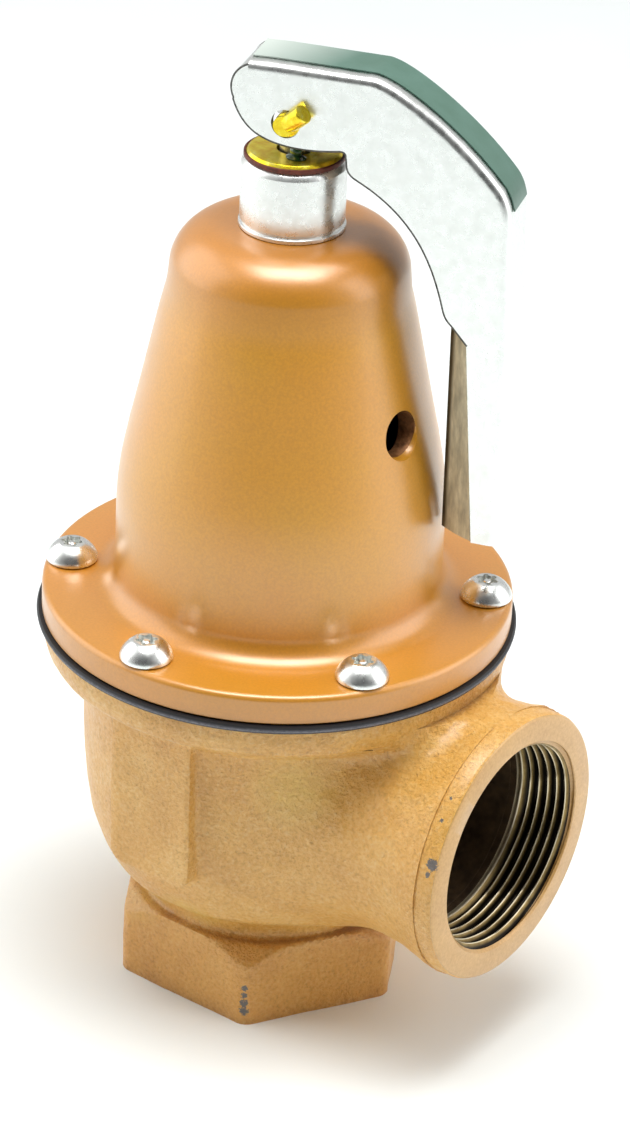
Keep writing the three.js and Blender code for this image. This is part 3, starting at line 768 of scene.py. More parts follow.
def grip_lip(side):
    """One inturned lip of the grip: the cheek's edge bent round and in towards the middle."""
    rows, count = 9, 9
    sections = []
    for t in np.linspace(0, 1, rows):
        z = FOOT + t * (GRIP_TOP + 0.3 - FOOT)
        fold = GRIP_FOLD + 1.8 - 3.3 * t
        reach = 0.7 + 2.4 * t
        middle = np.array(curve([(fold + 3, LEVER_HALF - SHEET / 2), (fold - 0.8, LEVER_HALF - SHEET / 2),
                                 (GRIP_EDGE, reach + SHEET / 2)], count - 1))
        outer = offset_line(middle.tolist(), SHEET / 2 - 0.02)
        inner = offset_line(middle.tolist(), -SHEET / 2 + 0.02)
        sections.append([(x, side * y, z + t * 0.8 * (39.6 - x)) for x, y in outer + inner[::-1]])
    points = [p for section in sections for p in section]
    return outwards(mesh_object("lip", points, tube_faces(rows, 2 * count)), split=False)


def lever():
    """The lifting lever: a channel pressed from sheet, its grip folded in at the foot."""
    piece = channel("lifting_lever", LEVER_HALF, 0, BEND, cheek_edge())
    hollow = [[30, FOOT - 3], [30, 180], [12, 185], [-14, 185], [-14, PIN_Z + 9]]
    cut(piece, [channel("hollow", LEVER_HALF - SHEET, SHEET, BEND - SHEET, hollow)])
    for side in (-1, 1):
        cut(piece, [grip_lip(side)], "UNION")
    cut(piece, [cross_hole(3.0)])
    soften_edges(piece)
    return swung(piece)


def dark_edge_shade_line(side):
    """A thin dark tube along one cheek's free edge: the cut steel edge, darkened into a painted shade line."""
    line = rounded([p for p in cheek_edge() if p[1] > FOOT + 0.2], 0.5, closed=False)
    inset = offset_line([list(p) for p in line], 0.16)
    path = [(x, side * (LEVER_HALF - 0.14), z) for x, z in inset]
    return swung(swept(f"lever_edge_{'far' if side > 0 else 'near'}", path, [0.24] * len(path), 10))


def soften_edges(piece):
    """Rounds off the pressed sheet's sharp edges, and keeps its flat faces shading flat."""
    bm = bmesh.new()
    bm.from_mesh(piece.data)
    bmesh.ops.remove_doubles(bm, verts=bm.verts, dist=0.004 * MM)
    bmesh.ops.dissolve_limit(bm, angle_limit=math.radians(0.4), verts=bm.verts, edges=bm.edges)
    bm.to_mesh(piece.data)
    bm.free()
    bevel = piece.modifiers.new("bevel", "BEVEL")
    bevel.width = 0.3 * MM
    bevel.segments = 2
    bevel.angle_limit = math.radians(38)
    apply_modifiers(piece)
    shade(piece, 50)
    weigh = piece.modifiers.new("weigh", "WEIGHTED_NORMAL")
    weigh.keep_sharp = True
    apply_modifiers(piece)


def lever_label():
    """A blank strip stuck along the web, from the nose to where the web turns down."""
    line = [p for p in web_line() if p[1] > PIN_Z - 12.5]
    under, over = offset_line(line, -0.1), offset_line(line, -0.35)
    sections = [(y, over + under[::-1]) for y in np.linspace(*LABEL_SIDES, 13)]
    return swung(skinned("lever_label_strip", sections))


def swept(name, path, radii, sides=24):
    """A closed tube along a path of points, with a radius at each."""
    p = np.array(path, float)
    tangent = np.gradient(p, axis=0)
    tangent /= np.linalg.norm(tangent, axis=1, keepdims=True)
    up = np.array([0.0, 0.0, 1.0]) if abs(tangent[0][2]) < 0.8 else np.array([1.0, 0.0, 0.0])
    points = []
    for centre, t, radius in zip(p, tangent, radii):
        across = np.cross(t, up)
        across /= np.linalg.norm(across)
        up = np.cross(across, t)
        for a in np.linspace(0, 2 * math.pi, sides, endpoint=False):
            points.append(centre + radius * (math.cos(a) * across + math.sin(a) * up))
    return outwards(mesh_object(name, points, tube_faces(len(p), sides), 40))


def cotter_pin():
    """Split pin through the cheeks and the stem: an eye on the far side, one leg left short and the other turned
    up over the near cheek."""
    out, r, z = LEVER_HALF, 2.15, PIN_Z
    straight = np.linspace(out + 1.6, -out - 1.5, 12)
    shank = swept("split_pin", [(0, y, z) for y in straight], [r] * 12, 40)
    bend = curve([(1.0, -out - 0.4, 0.6), (2.6, -out - 1.5, 1.9), (4.3, -out - 1.9, 3.6)], 20)
    leg = swept("leg", np.array(bend) + (0, 0, z), [2.0] * 20 + [1.85], 40)
    dome = [math.sqrt(1 - (max(0, t - 0.5) / 0.52) ** 2) for t in np.linspace(0, 1, 20)]
    stub = swept("stub", [(0.45, -out + 1.2 - 2.7 * t, z) for t in np.linspace(0, 1, 20)],
                 [2.6 * d for d in dome], 48)
    ring = np.linspace(0, 2 * math.pi, 49)
    eye = [(0.2 * math.sin(a), out + 4.3 + 2.9 * math.cos(a), z + 3.1 * math.sin(a)) for a in ring[2:-2]]
    loop = swept("eye", eye, [1.05] * len(eye), 24)
    cut(shank, [leg, stub, loop], "UNION")
    shade(shank, 50)
    return swung(shank)


def lacquer_dab():
    """A bead of setting lacquer on the washer, with a skirt where it ran."""
    base = node_box("cap_washer")[1][2] - 0.12
    ball = arc((0, 1.25), 1.15, -35, 90, 14)
    outline = [(0, -0.1), (1.5, -0.1), (1.9, 0.0), (1.45, 0.3), *ball[:-1], (0, 2.4)]
    points, faces = turned_arrays(outline, 64)
    sway = np.array([noise.noise(Vector(p) * 0.7) for p in points.tolist()])
    points = points * (1 + 0.12 * sway[:, None]) * (1.25, 0.9, 1.0)
    return mesh_object("lacquer_dab", points + (3.0, -3.6, base), faces, 80)


# ---------------------------------------------------------------- materials
class Finish:
    """A node material being built, in millimetres about the valve axis."""

    def __init__(self, name, roughness=0.5, metallic=0.0):
        self.material = bpy.data.materials.new(name)
        self.material.use_nodes = True
        self.tree = self.material.node_tree
        self.shader = self.tree.nodes["Principled BSDF"]
        self.set(Roughness=roughness, Metallic=metallic)
        place = self.node("ShaderNodeMapping", Vector=self.node("ShaderNodeTexCoord").outputs["Object"])
        place.inputs["Scale"].default_value = (1 / MM,) * 3
        place.inputs["Location"].default_value = tuple(-AXIS)
        self.place = place.outputs["Vector"]

    def node(self, kind, **inputs):
        node = self.tree.nodes.new(kind)
        for name, value in inputs.items():
            self.feed(node.inputs[name], value)
        return node

    def feed(self, socket, value):
        if isinstance(value, bpy.types.NodeSocket):
            self.tree.links.new(value, socket)
        elif isinstance(value, tuple) and len(value) == 3 and socket.type == "RGBA":
            socket.default_value = (*value, 1.0)
        else:
            socket.default_value = value

    def set(self, **inputs):
        for name, value in inputs.items():
            self.feed(self.shader.inputs[name.replace("_", " ")], value)
        return self

    def noise(self, size, detail=3.0, rough=0.55, stretch=(1, 1, 1)):
        """Fractal noise of a feature size in millimetres, about 0 to 1."""
        place = self.node("ShaderNodeVectorMath", **{"Vector": self.place})
        place.operation = "MULTIPLY"
        place.inputs[1].default_value = tuple(s / size for s in stretch)
        node = self.node("ShaderNodeTexNoise", Vector=place.outputs["Vector"], Scale=1.0, Detail=detail,
                         Roughness=rough)
        return node.outputs["Fac"]

    def ramp(self, value, *stops):
        node = self.node("ShaderNodeValToRGB", Fac=value)
        while len(node.color_ramp.elements) < len(stops):
            node.color_ramp.elements.new(0.5)
        for element, (position, colour) in zip(node.color_ramp.elements, stops):
            element.position = position
            element.color = (*colour, 1.0) if isinstance(colour, tuple) else (colour,) * 3 + (1.0,)
        return node.outputs["Color"]

    def maths(self, operation, *values, clamp=False):
        node = self.tree.nodes.new("ShaderNodeMath")
        node.operation = operation
        node.use_clamp = clamp
        for socket, value in zip(node.inputs, values):
            self.feed(socket, value)
        return node.outputs["Value"]

    def mix(self, share, a, b, kind="MIX"):
        node = self.tree.nodes.new("ShaderNodeMix")
        node.data_type = "RGBA"
        node.blend_type = kind
        for socket, value in ((0, share), (6, a), (7, b)):
            self.feed(node.inputs[socket], value)
        return node.outputs[2]

    def bump(self, height, depth, normal=None):
        """Relief of a depth in millimetres."""
        node = self.node("ShaderNodeBump", Height=height, Distance=depth * MM)
        if normal is not None:
            self.feed(node.inputs["Normal"], normal)
        return node.outputs["Normal"]

    def hollow(self, reach):
        """About 1 in the open and towards 0 in hollows within reach, in millimetres."""
        node = self.node("ShaderNodeAmbientOcclusion", Distance=reach * MM)
        node.samples = 8
        return node.outputs["AO"]

    def over_cone(self, axis, centre, radius, slope):
        """How far outside a cone along an axis through centre, in millimetres; its radius grows by slope."""
        parts = self.node("ShaderNodeSeparateXYZ", Vector=self.place).outputs
        squares = [self.maths("POWER", self.maths("SUBTRACT", parts[k], c), 2.0)
                   for k, c in zip("XYZ", centre) if k != axis]
        away = self.maths("SQRT", self.maths("ADD", *squares))
        cone = self.maths("MULTIPLY_ADD", parts[axis], slope, radius)
        return self.maths("SUBTRACT", away, cone)

    def distance(self, centre):
        """Distance from a point, in millimetres."""
        node = self.node("ShaderNodeVectorMath", **{"Vector": self.place})
        node.operation = "DISTANCE"
        node.inputs[1].default_value = centre
        return node.outputs["Value"]

    def part(self, axis):
        node = self.node("ShaderNodeSeparateXYZ", Vector=self.place)
        return node.outputs[axis]


# Places on the paint, as (centre, radius): bare metal, the golden crust of sand and paint, and dirt.
HEX_SCUFF = (
    ((17.1, -29.6, 3.5), 1.1), ((17.1, -29.6, 5.6), 1.0), ((17.0, -29.5, 7.6), 0.8), ((16.9, -29.3, 9.6), 0.7),
)
OUTLET_SCUFF = (
    ((62.7, -28.3, OUTLET_Z + 9.2), 1.25), ((62.1, -28.9, OUTLET_Z + 7.0), 0.6),
    ((61.3, -20.9, OUTLET_Z + 21.3), 0.35), ((61.5, -24.1, OUTLET_Z + 17.5), 0.4),
)
CRUST = (((27.0, -27.0, 66.0), 12.0), ((-14.0, -27.0, 22.0), 10.0), ((4.0, -33.0, 25.0), 8.0))
DIRT = (((30.0, -15.6, 113.5), 0.45), ((3.2, -34.1, 110.3), 0.4), ((9.5, -30.7, 127.0), 0.25))


def haze(f, centre, radius):
    """A soft mottled mask about a point in millimetres."""
    near = f.maths("SUBTRACT", 1.0, f.maths("DIVIDE", f.distance(centre), radius), clamp=True)
    return f.maths("MULTIPLY", near, f.maths("ADD", f.noise(2.2, 4.0), 0.4), clamp=True)


def spot(f, centre, radius):
    """A mask of a ragged spot about a point in millimetres: 1 inside, 0 outside."""
    wobble = f.maths("MULTIPLY", f.maths("SUBTRACT", f.noise(radius * 0.7, 5.0, 0.75), 0.5), 3.15)
    return f.maths("LESS_THAN", f.maths("ADD", f.maths("DIVIDE", f.distance(centre), radius), wobble), 1.0)


def wear(f, base, spots):
    """Bare grey metal where the paint has been knocked off."""
    for centre, radius in spots:
        base = f.mix(spot(f, centre, radius), base, (0.15, 0.125, 0.11))
    return base


def cast_paint():
    """Thin bronze paint over sand-cast skin: pale on the grains, with painted shade, brown, in the pits and
    hollows.
    """
    f = Finish("cast_paint", 0.5, 0.0)
    grain = f.noise(0.85, 4.0, 0.65)
    patches = f.noise(14, 3.0, 0.6)
    fine = f.noise(0.5, 2.0, 0.6)
    pits = f.noise(3.2, 4.0, 0.65)
    yellows = (0.32, (0.80, 0.36, 0.030)), (0.55, (0.93, 0.47, 0.070)), (0.72, (0.98, 0.56, 0.14))
    base = f.ramp(patches, *yellows)
    speck = f.ramp(grain, (0.30, (0.30, 0.12, 0.01)), (0.48, (0.85, 0.43, 0.06)), (0.68, (1.0, 0.78, 0.38)))
    base = f.mix(0.30, base, speck)
    # Painted shade: brown darkening in hollows within 9 mm.
    dark = f.ramp(f.hollow(9.0), (0.20, (0.24, 0.11, 0.025)), (0.60, (1.0, 1.0, 1.0)))
    base = f.mix(1.0, base, dark, "MULTIPLY")
    for centre, radius in CRUST:
        base = f.mix(haze(f, centre, radius), base, (0.88, 0.55, 0.07))
    low = f.ramp(f.maths("DIVIDE", f.part("Z"), 30.0), (0.55, (0.95, 0.86, 0.62)), (0.72, (1.0, 1.0, 1.0)))
    base = f.mix(1.0, base, low, "MULTIPLY")
    base = wear(f, base, HEX_SCUFF + OUTLET_SCUFF)
    normal = f.bump(f.maths("ADD", pits, grain), 1.15)
    normal = f.bump(fine, 0.16, normal)
    rough = f.ramp(grain, (0.3, 0.62), (0.7, 0.40))
    f.set(Base_Color=base, Normal=normal, Roughness=rough)
    return f.set(Coat_Weight=0.7, Coat_Roughness=0.38, Coat_IOR=1.7).material


def machined_paint():
    """The same paint over a turned face: smoother, with faint tool rings."""
    f = Finish("machined_paint", 0.45, 0.2)
    patches = f.noise(9, 3.0)
    base = f.ramp(patches, (0.3, (0.50, 0.255, 0.05)), (0.7, (0.62, 0.34, 0.085)))
    fine = f.noise(0.6, 3.0)
    base = f.mix(0.3, base, f.ramp(fine, (0.3, (0.42, 0.20, 0.04)), (0.7, (0.80, 0.52, 0.22))))
    # Painted shade: brown darkening in hollows within 4 mm.
    dark = f.ramp(f.hollow(4.0), (0.2, (0.40, 0.22, 0.07)), (0.7, (1.0, 1.0, 1.0)))
    base = f.mix(1.0, base, dark, "MULTIPLY")
    base = wear(f, base, OUTLET_SCUFF)
    f.set(Base_Color=base, Normal=f.bump(fine, 0.05))
    return f.set(Coat_Weight=0.7, Coat_Roughness=0.35, Coat_IOR=1.7).material


def thread_metal():
    """Cut bronze in the threads: olive-brown and oily, with a painted highlight on the crests and painted shade,
    nearly black, deep in the thread roots.
    """
    f = Finish("thread_metal", 0.38, 0.75)
    stain = f.noise(2.4, 4.0)
    above = f.maths("MINIMUM", f.over_cone("X", (0, 0, OUTLET_Z), OUTLET_BORE - OUTLET_FACE * TAPER, TAPER),
                    f.over_cone("Z", (0, 0, 0), INLET_BORE, -TAPER))
    flank = f.ramp(stain, (0.3, (0.17, 0.105, 0.032)), (0.7, (0.36, 0.25, 0.09)))
    # Painted shade: nearly black in the thread roots, away from the crests.
    base = f.mix(f.ramp(above, (0.35, 0.0), (0.95, 1.0)), flank, (0.012, 0.008, 0.004))
    # Painted highlight: a pale beige line along the crests.
    base = f.mix(f.ramp(above, (0.10, 1.0), (0.22, 0.0)), base, (0.78, 0.68, 0.48))
    lines = f.noise(0.35, 2.0, 0.5, (1, 0.2, 0.2))
    return f.set(Base_Color=base, Normal=f.bump(lines, 0.03)).material


def plain(name, roughness, metallic, dark, light, stain, grain, depth):
    """A finish between two colours, stained and grained at two feature sizes in millimetres."""
    f = Finish(name, roughness, metallic)
    base = f.ramp(f.noise(stain, 4.0), (0.3, dark), (0.7, light))
    return f.set(Base_Color=base, Normal=f.bump(f.noise(grain), depth)).material


def smooth_paint():
    """Satin bronze paint on the turned bonnet, slightly orange-peeled, with a few specks of dirt."""
    f = Finish("smooth_paint", 0.42, 0.15)
    drift = f.noise(26, 2.0)
    fine = f.noise(0.55, 3.0, 0.6)
    # Painted shade: darker on the flange at the bottom and on the shoulder at the top, the parts that face the top
    # lamp.
    height = f.ramp(f.maths("DIVIDE", f.maths("SUBTRACT", f.part("Z"), 86.0), 90.0),
                    (0.0, (0.60, 0.24, 0.010)), (0.10, (0.62, 0.26, 0.008)), (0.18, (0.68, 0.315, 0.007)),
                    (0.80, (0.70, 0.32, 0.007)), (1.0, (0.50, 0.185, 0.008)))
    base = f.mix(f.ramp(drift, (0.35, 0.0), (0.65, 0.3)), height, (0.76, 0.28, 0.010))
    base = f.mix(f.ramp(fine, (0.35, 0.25), (0.65, 0.0)), base, (0.36, 0.13, 0.008))
    for centre, radius in DIRT:
        base = f.mix(spot(f, centre, radius), base, (0.08, 0.06, 0.05))
    peel = f.noise(1.6, 2.0)
    normal = f.bump(peel, 0.03)
    normal = f.bump(fine, 0.018, normal)
    rough = f.ramp(f.noise(5, 3.0), (0.3, 0.36), (0.7, 0.44))
    f.set(Base_Color=base, Normal=normal, Roughness=rough)
    return f.set(Coat_Weight=1.0, Coat_Roughness=0.30, Coat_IOR=1.75).material


def bright_zinc(name="bright_zinc", relief=1.0, metallic=1.0):
    """Bright zinc on pressed sheet and turned steel: nearly white, faintly mottled and scratched."""
    f = Finish(name, 0.3, metallic)
    mottle = f.noise(3.5, 4.0, 0.65)
    base = f.ramp(mottle, (0.3, (0.84, 0.86, 0.83)), (0.7, (0.92, 0.935, 0.915)))
    scratch = f.noise(0.8, 3.0, 0.6, (1, 1, 0.12))
    base = f.mix(f.ramp(scratch, (0.64, 0.0), (0.74, 0.20)), base, (0.6, 0.61, 0.6))
    normal = f.bump(mottle, 0.015 * relief)
    normal = f.bump(scratch, 0.008 * relief, normal)
    rough = f.ramp(f.noise(2.2, 3.0), (0.3, 0.22), (0.7, 0.36))
    return f.set(Base_Color=base, Normal=normal, Roughness=rough).material


def yellow_zinc():
    """Yellow-passivated zinc, warmer where the film is thick."""
    f = Finish("yellow_zinc", 0.25, 0.85)
    film = f.noise(1.8, 3.0)
    base = f.ramp(film, (0.3, (0.80, 0.52, 0.02)), (0.55, (0.92, 0.74, 0.04)), (0.75, (0.95, 0.84, 0.22)))
    return f.set(Base_Color=base, Normal=f.bump(f.noise(0.7, 2.0), 0.03)).material


def black_rubber():
    """Fabric-reinforced rubber sheet: charcoal, with a worn grey bloom along the middle of its cut edge."""
    f = Finish("black_rubber", 0.55, 0.0)
    weave = f.noise(0.7, 3.0, 0.6, (1, 1, 2.5))
    middle = f.maths("ABSOLUTE", f.maths("SUBTRACT", f.part("Z"), node_box("diaphragm")[1][2] - 0.85))
    bloom = f.ramp(middle, (0.1, 1.0), (0.5, 0.0))
    worn = f.ramp(weave, (0.3, (0.07, 0.07, 0.08)), (0.7, (0.22, 0.22, 0.25)))
    base = f.mix(bloom, (0.012, 0.012, 0.014), worn)
    return f.set(Base_Color=base, Normal=f.bump(weave, 0.08)).material


def dull_zinc_painted_shade():
    """Zinc on the grip's lips, dull and beige-grey, with dark streaks that are painted reflection, and painted
    shade towards the inner edge and along the fold.
    """
    f = Finish("dull_zinc_painted_shade", 0.45, 0.1)
    streak = f.noise(1.6, 4.0, 0.6, (1, 1, 0.25))
    greys = (0.30, (0.42, 0.39, 0.275)), (0.55, (0.68, 0.635, 0.455)), (0.7, (0.85, 0.80, 0.60))
    base = f.ramp(streak, *greys)
    out = (math.cos(LEVER_TURN), math.sin(LEVER_TURN))
    reach = f.maths("ADD", f.maths("MULTIPLY", f.part("X"), out[0]), f.maths("MULTIPLY", f.part("Y"), out[1]))
    # Painted shade: darker towards the lip's inner edge.
    shade = f.ramp(f.maths("SUBTRACT", reach, GRIP_EDGE), (0.15, (0.10, 0.09, 0.07)), (0.95, (1.0, 1.0, 1.0)))
    base = f.mix(1.0, base, shade, "MULTIPLY")
    rise = 3.3 / (GRIP_TOP + 0.3 - FOOT)
    fold = f.maths("ADD", reach, f.maths("MULTIPLY", f.part("Z"), rise))
    fold = f.maths("SUBTRACT", fold, GRIP_FOLD + 1.8 + FOOT * rise - 1.0)
    # Painted shade: a dark line along the fold.
    base = f.mix(f.ramp(fold, (0.55, 0.0), (0.85, 0.75)), base, (0.08, 0.08, 0.075))
    return f.set(Base_Color=base, Normal=f.bump(streak, 0.03)).material


def turned_metal(name, dark, light, roughness):
    """Turned bar stock, with tool rings up the axis and a slight stain."""
    f = Finish(name, roughness, 1.0)
    rings = f.noise(0.35, 2.0, 0.5, (0.15, 0.15, 1))
    lines, stain = [f.ramp(value, (0.3, dark), (0.7, light)) for value in (rings, f.noise(4.0, 4.0))]
    base = f.mix(0.7, lines, stain)
    return f.set(Base_Color=base, Normal=f.bump(rings, 0.02)).material


def green_label():
    """Printed film under a clear gloss, its green turning pale towards the nose as a painted highlight."""
    f = Finish("green_label", 0.35, 0.0)
    along = f.part("X")
    # Painted highlight: the green pales towards the nose.
    nose_highlight = f.ramp(f.maths("DIVIDE", f.maths("ADD", along, 10.0), 40.0), (0.05, 0.0), (0.50, 1.0))
    green = f.ramp(f.noise(6, 3.0), (0.3, (0.055, 0.135, 0.095)), (0.7, (0.075, 0.165, 0.125)))
    base = f.mix(nose_highlight, (0.50, 0.56, 0.51), green)
    f.set(Base_Color=base, Normal=f.bump(f.noise(2.5, 2.0), 0.03))
    return f.set(Coat_Weight=0.4, Coat_Roughness=0.15).material


def green_lacquer():
    f = Finish("green_lacquer", 0.12, 0.0)
    base = f.ramp(f.noise(1.2, 2.0), (0.3, (0.012, 0.05, 0.015)), (0.7, (0.03, 0.13, 0.04)))
    return f.set(Base_Color=base, Coat_Weight=0.8, Coat_Roughness=0.05).material


# ---------------------------------------------------------------- putting the pieces in place
def install(piece, body, material, slot, *nodes):
    """Moves a piece to the valve axis, finishes it, and lets it stand for its CAD nodes on their body."""
    piece.data.transform(Matrix.Translation(Vector(AXIS) * MM))
    if material is not None:
        piece.data.materials.clear()
        piece.data.materials.append(material)
    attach(piece, body)
    if nodes:
        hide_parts(*nodes)
    return piece


def paint_by_place(piece, materials, choose):
    """Gives each face the material whose number choose(centres, normals) returns, about the valve axis."""
    mesh = piece.data
    mesh.materials.clear()
    for material in materials:
        mesh.materials.append(material)
    count = len(mesh.polygons)
    centres, normals = np.empty(count * 3), np.empty(count * 3)
    mesh.polygons.foreach_get("center", centres)
    mesh.polygons.foreach_get("normal", normals)
    numbers = choose(centres.reshape(-1, 3) / MM, normals.reshape(-1, 3))
    mesh.polygons.foreach_set("material_index", numbers.astype(np.int32))
    mesh.update()


def bonnet_surfaces(centres, _):
    """0 painted outside, 1 bare inside and the drilled hole's wall."""
    x, y, z = centres.T
    outer = np.interp(z, [100, 118, 140, 158, 165, 171, 174], [34.7, 34.2, 29.9, 26.0, 24.6, 21.5, 17])
    inside = (np.hypot(x, y) < outer - 1.5) & (z > 98.5) & (z < BONNET_HIGH[2] - 0.05)
    weep = (np.hypot(y - x * math.tan(math.radians(WEEP_DEG)), z - WEEP_Z) < WEEP_R + 0.05) & (x > 20)
    return (inside | weep).astype(int)


def lever_surfaces(centres, normals):
    """0 zinc, 1 the sheet's cut edge along the cheeks and the pin hole's wall, dark steel deepened into painted
    shade, 2 the grip's inturned lips.
    """
    back = np.array(Matrix.Rotation(-LEVER_TURN, 3, "Z"))
    local, facing = centres @ back.T, normals @ back.T
    nearest = np.full(len(local), 1e9)
    line = cheek_edge()
    for a, b in zip(np.array(line[:-1]), np.array(line[1:])):
        offset, along = local[:, [0, 2]] - a, b - a
        t = np.clip(offset @ along / (along @ along), 0, 1)
        nearest = np.minimum(nearest, np.linalg.norm(offset - t[:, None] * along, axis=1))
    # Painted shade along the cheeks' cut edge, below the pin.
    edge = (nearest < 0.42) & (np.abs(facing[:, 1]) < 0.97) & (local[:, 2] < PIN_Z + 6)
    lip = (local[:, 0] < GRIP_FOLD + 2.5) & (local[:, 2] < GRIP_TOP + 1) & (facing[:, 0] < -0.15)
    # Painted shade in the pin hole's wall.
    hole = (np.hypot(local[:, 0], local[:, 2] - PIN_Z) < 3.4) & (np.abs(facing[:, 1]) < 0.9)
    return np.where(lip, 2, np.where(edge | hole, 1, 0))


def body_surfaces(centres, normals):
    """0 cast skin, 1 machined and painted, 2 bare thread or bore, 3 chamber and the deep end of the outlet bore,
    dark brown, partly painted shade.
    """
    x, y, z = centres.T
    axis_out = np.hypot(y, z - OUTLET_Z)
    axis_up = np.hypot(x, y)
    number = np.zeros(len(centres))
    number[(x > OUTLET_FACE - 1.5) & (axis_out > 20) & ((normals[:, 0] > 0.5) | (axis_out < 25))] = 1
    number[(np.abs(normals[:, 2]) > 0.99) & (z > BODY_TOP - 0.4)] = 1
    chamber = (np.abs(CHAMBER_SHAPE(axis_up, z)) < 0.9) & (z > BOWL_FLOOR - 0.8) & (z < BODY_TOP - 0.1)
    number[chamber & (number == 0)] = 3
    bore = (axis_out < OUTLET_BORE + 2.2) & (x > 27)
    number[bore & (x < OUTLET_FACE - 1.2)] = 2
    # Painted shade: the deep end of the outlet bore takes the dark chamber finish.
    number[bore & (x < OUTLET_FACE - OUTLET_DEPTH + 1.6)] = 3
    number[(axis_up < INLET_MOUTH) & (z < 24) & (z > 0.01)] = 2
    number[(axis_up < 18) & (z >= 24) & (z < 60)] = 2
    return number


def build():
    paint, turned_paint, threads = cast_paint(), machined_paint(), thread_metal()
    # The chamber's casting skin, dark brown: partly its own colour, partly painted shade inside.
    chamber = plain("chamber_skin_shade", 0.7, 0.4, (0.05, 0.028, 0.012), (0.12, 0.07, 0.03), 3.0, 1.2, 0.3)
    drilled = plain("drilled_copper", 0.5, 0.5, (0.14, 0.055, 0.018), (0.42, 0.19, 0.075), 1.5, 0.6, 0.1)
    red = plain("red_fibre", 0.55, 0.0, (0.06, 0.010, 0.004), (0.20, 0.035, 0.012), 0.8, 0.4, 0.04)
    # Dark cut steel for the lever's edges and pin hole, darkened as painted shade.
    cut_edge_shade = plain("sheared_edge_shade", 0.5, 0.8, (0.05, 0.05, 0.048), (0.20, 0.20, 0.19), 1.0, 0.5, 0.05)
    seat = plain("seat_rubber", 0.6, 0.0, (0.012, 0.012, 0.014), (0.04, 0.04, 0.045), 2.0, 0.8, 0.05)
    satin, zinc, yellow, rubber = smooth_paint(), bright_zinc(), yellow_zinc(), black_rubber()
    brass = turned_metal("brass", (0.42, 0.26, 0.08), (0.66, 0.47, 0.20), 0.32)
    steel = turned_metal("plain_steel", (0.30, 0.31, 0.32), (0.56, 0.57, 0.58), 0.35)
    coil_steel = turned_metal("spring_steel", (0.07, 0.08, 0.09), (0.18, 0.19, 0.21), 0.4)

    casting = body_casting()
    paint_by_place(casting, [paint, turned_paint, threads, chamber], body_surfaces)
    install(casting, "valve_body", None, "cast_paint", "body_casting")
    hood = bonnet()
    paint_by_place(hood, [satin, drilled], bonnet_surfaces)
    install(hood, "valve_body", None, "smooth_paint", "bonnet")
    install_diaphragm(rubber)
    install(seal_cap(), "valve_body", bright_zinc("cap_zinc", 0.2, 0.8), "bright_zinc", "seal_cap")
    install(seal_ring(), "valve_body", red, "red_fibre", "seal_ring")
    install(cap_washer(), "valve_body", yellow, "yellow_zinc", "cap_washer")
    install(lacquer_dab(), "valve_body", green_lacquer(), "green_label")
    for i, place in enumerate(screw_places()):
        install(flange_screw(i, place), "valve_body", zinc, "bright_zinc", f"flange_screw_{i + 1}")

    coil = install(spring(), "valve_body", coil_steel, "spring_steel", "spring")
    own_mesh(coil)

    for node, body, material, slot in (
        ("seat_ring", "valve_body", brass, "brass"),
        ("upper_spring_button", "valve_body", steel, "plain_steel"),
        ("disc_holder", "disc_assembly", brass, "brass"),
        ("seat_disc", "disc_assembly", seat, "black_rubber"),
        ("disc_retainer", "disc_assembly", brass, "brass"),
        ("pressure_plate", "disc_assembly", steel, "plain_steel"),
        ("lower_spring_button", "disc_assembly", steel, "plain_steel"),
    ):
        install(inner_part(node), body, material, slot, node)
    for node in ("adjusting_screw", "lock_nut", "disc_screw", "diaphragm_nut"):
        piece = frame["nodes"][node]
        piece.data.materials.clear()
        piece.data.materials.append(steel)
    install(stem(), "stem", steel, "plain_steel", "stem")

    handle = lever()
    paint_by_place(handle, [zinc, cut_edge_shade, dull_zinc_painted_shade()], lever_surfaces)
    install(handle, "lever", None, "bright_zinc", "lever")
    for side in (-1, 1):
        install(dark_edge_shade_line(side), "lever", cut_edge_shade, "bright_zinc")
    install(lever_label(), "lever", green_label(), "green_label", "lever_label")
    install(cotter_pin(), "lever", yellow, "yellow_zinc", "cotter_pin")


# ---------------------------------------------------------------- floor, light and camera
TARGET = Vector((6.3, 4.5, 97.0)) * MM + Vector(AXIS) * MM
AZIMUTH, ELEVATION, ROLL = 35.68, 28.83, 2.56
DISTANCE, LENS = 0.8176, 122.8


def direction(azimuth, elevation):
    """Outwards from the valve: azimuth from -Y towards +X, both in degrees."""
    a, e = math.radians(azimuth), math.radians(elevation)
    return Vector((math.cos(e) * math.sin(a), -math.cos(e) * math.cos(a), math.sin(e)))


def aimed(name, data, away, distance, roll=0.0):
    """Stands a camera or lamp at a distance in a direction, facing the valve."""
    piece = bpy.data.objects.new(name, data)
    bpy.context.scene.collection.objects.link(piece)
    turn = away.to_track_quat("Z", "Y").to_matrix() @ Matrix.Rotation(math.radians(roll), 3, "Z")
    piece.matrix_world = Matrix.Translation(TARGET + away * distance) @ turn.to_4x4()
    return piece


def camera():
    data = bpy.data.cameras.new("camera")
    data.lens = LENS
    data.clip_start = 0.01
    bpy.context.scene.camera = aimed("camera", data, direction(AZIMUTH, ELEVATION), DISTANCE, ROLL)


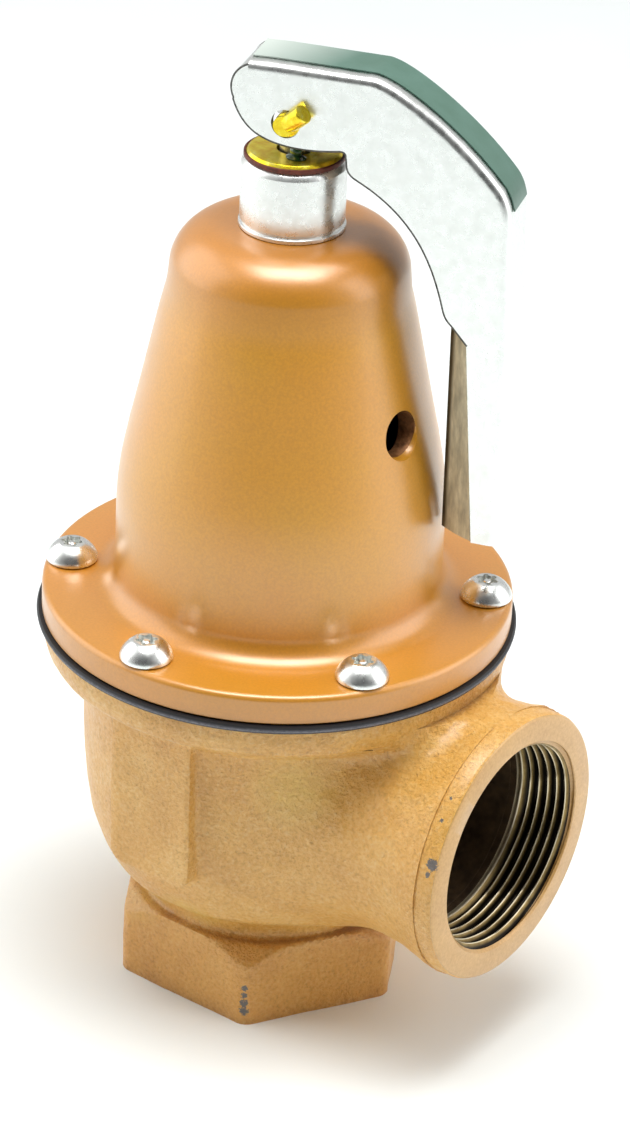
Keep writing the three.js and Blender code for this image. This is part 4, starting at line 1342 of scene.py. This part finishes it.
def floor():
    points = [(-2000, -2000, 0), (2000, -2000, 0), (2000, 2000, 0), (-2000, 2000, 0)]
    plane = mesh_object("floor", points, [(0, 1, 2, 3)])
    f = Finish("floor_white", 0.7, 0.0)
    base = f.ramp(f.noise(60.0, 2.0), (0.3, (0.87, 0.91, 0.90)), (0.7, (0.89, 0.93, 0.92)))
    plane.data.materials.append(f.set(Base_Color=base).material)


def area_light(name, azimuth, elevation, distance, size, power):
    """A soft white panel facing the valve, its size in metres."""
    data = bpy.data.lights.new(name, "AREA")
    data.shape = "RECTANGLE"
    data.size, data.size_y = size
    data.energy = power
    aimed(name, data, direction(azimuth, elevation), distance)


def surroundings():
    """A white light tent with a darker opening on the camera's side; plain white behind the valve."""
    world = bpy.data.worlds.new("tent")
    bpy.context.scene.world = world
    world.use_nodes = True
    tree = world.node_tree
    facing = tree.nodes.new("ShaderNodeVectorMath")
    facing.operation = "DOT_PRODUCT"
    place = tree.nodes.new("ShaderNodeTexCoord")
    tree.links.new(place.outputs["Generated"], facing.inputs[0])
    facing.inputs[1].default_value = direction(AZIMUTH, ELEVATION / 2)
    ramp = tree.nodes.new("ShaderNodeValToRGB")
    tree.links.new(facing.outputs["Value"], ramp.inputs["Fac"])
    for element, position, grey in zip(ramp.color_ramp.elements, (0.40, 0.85), (0.58, 0.10)):
        element.position, element.color = position, (grey, grey, grey, 1)
    path = tree.nodes.new("ShaderNodeLightPath")
    mix = tree.nodes.new("ShaderNodeMix")
    mix.data_type = "RGBA"
    tree.links.new(path.outputs["Is Camera Ray"], mix.inputs[0])
    tree.links.new(ramp.outputs["Color"], mix.inputs[6])
    mix.inputs[7].default_value = (1, 1, 1, 1)
    tree.links.new(mix.outputs[2], tree.nodes["Background"].inputs["Color"])
    tree.nodes["Background"].inputs["Strength"].default_value = 1.0


build()
floor()
area_light("key", -68, 24, 1.3, (1.3, 1.3), 8)
area_light("side", 124, 24, 1.3, (1.1, 1.2), 7.5)
area_light("top", 36, 84, 0.9, (0.62, 0.42), 8)
surroundings()
camera()
bpy.context.scene.view_settings.view_transform = "Standard"
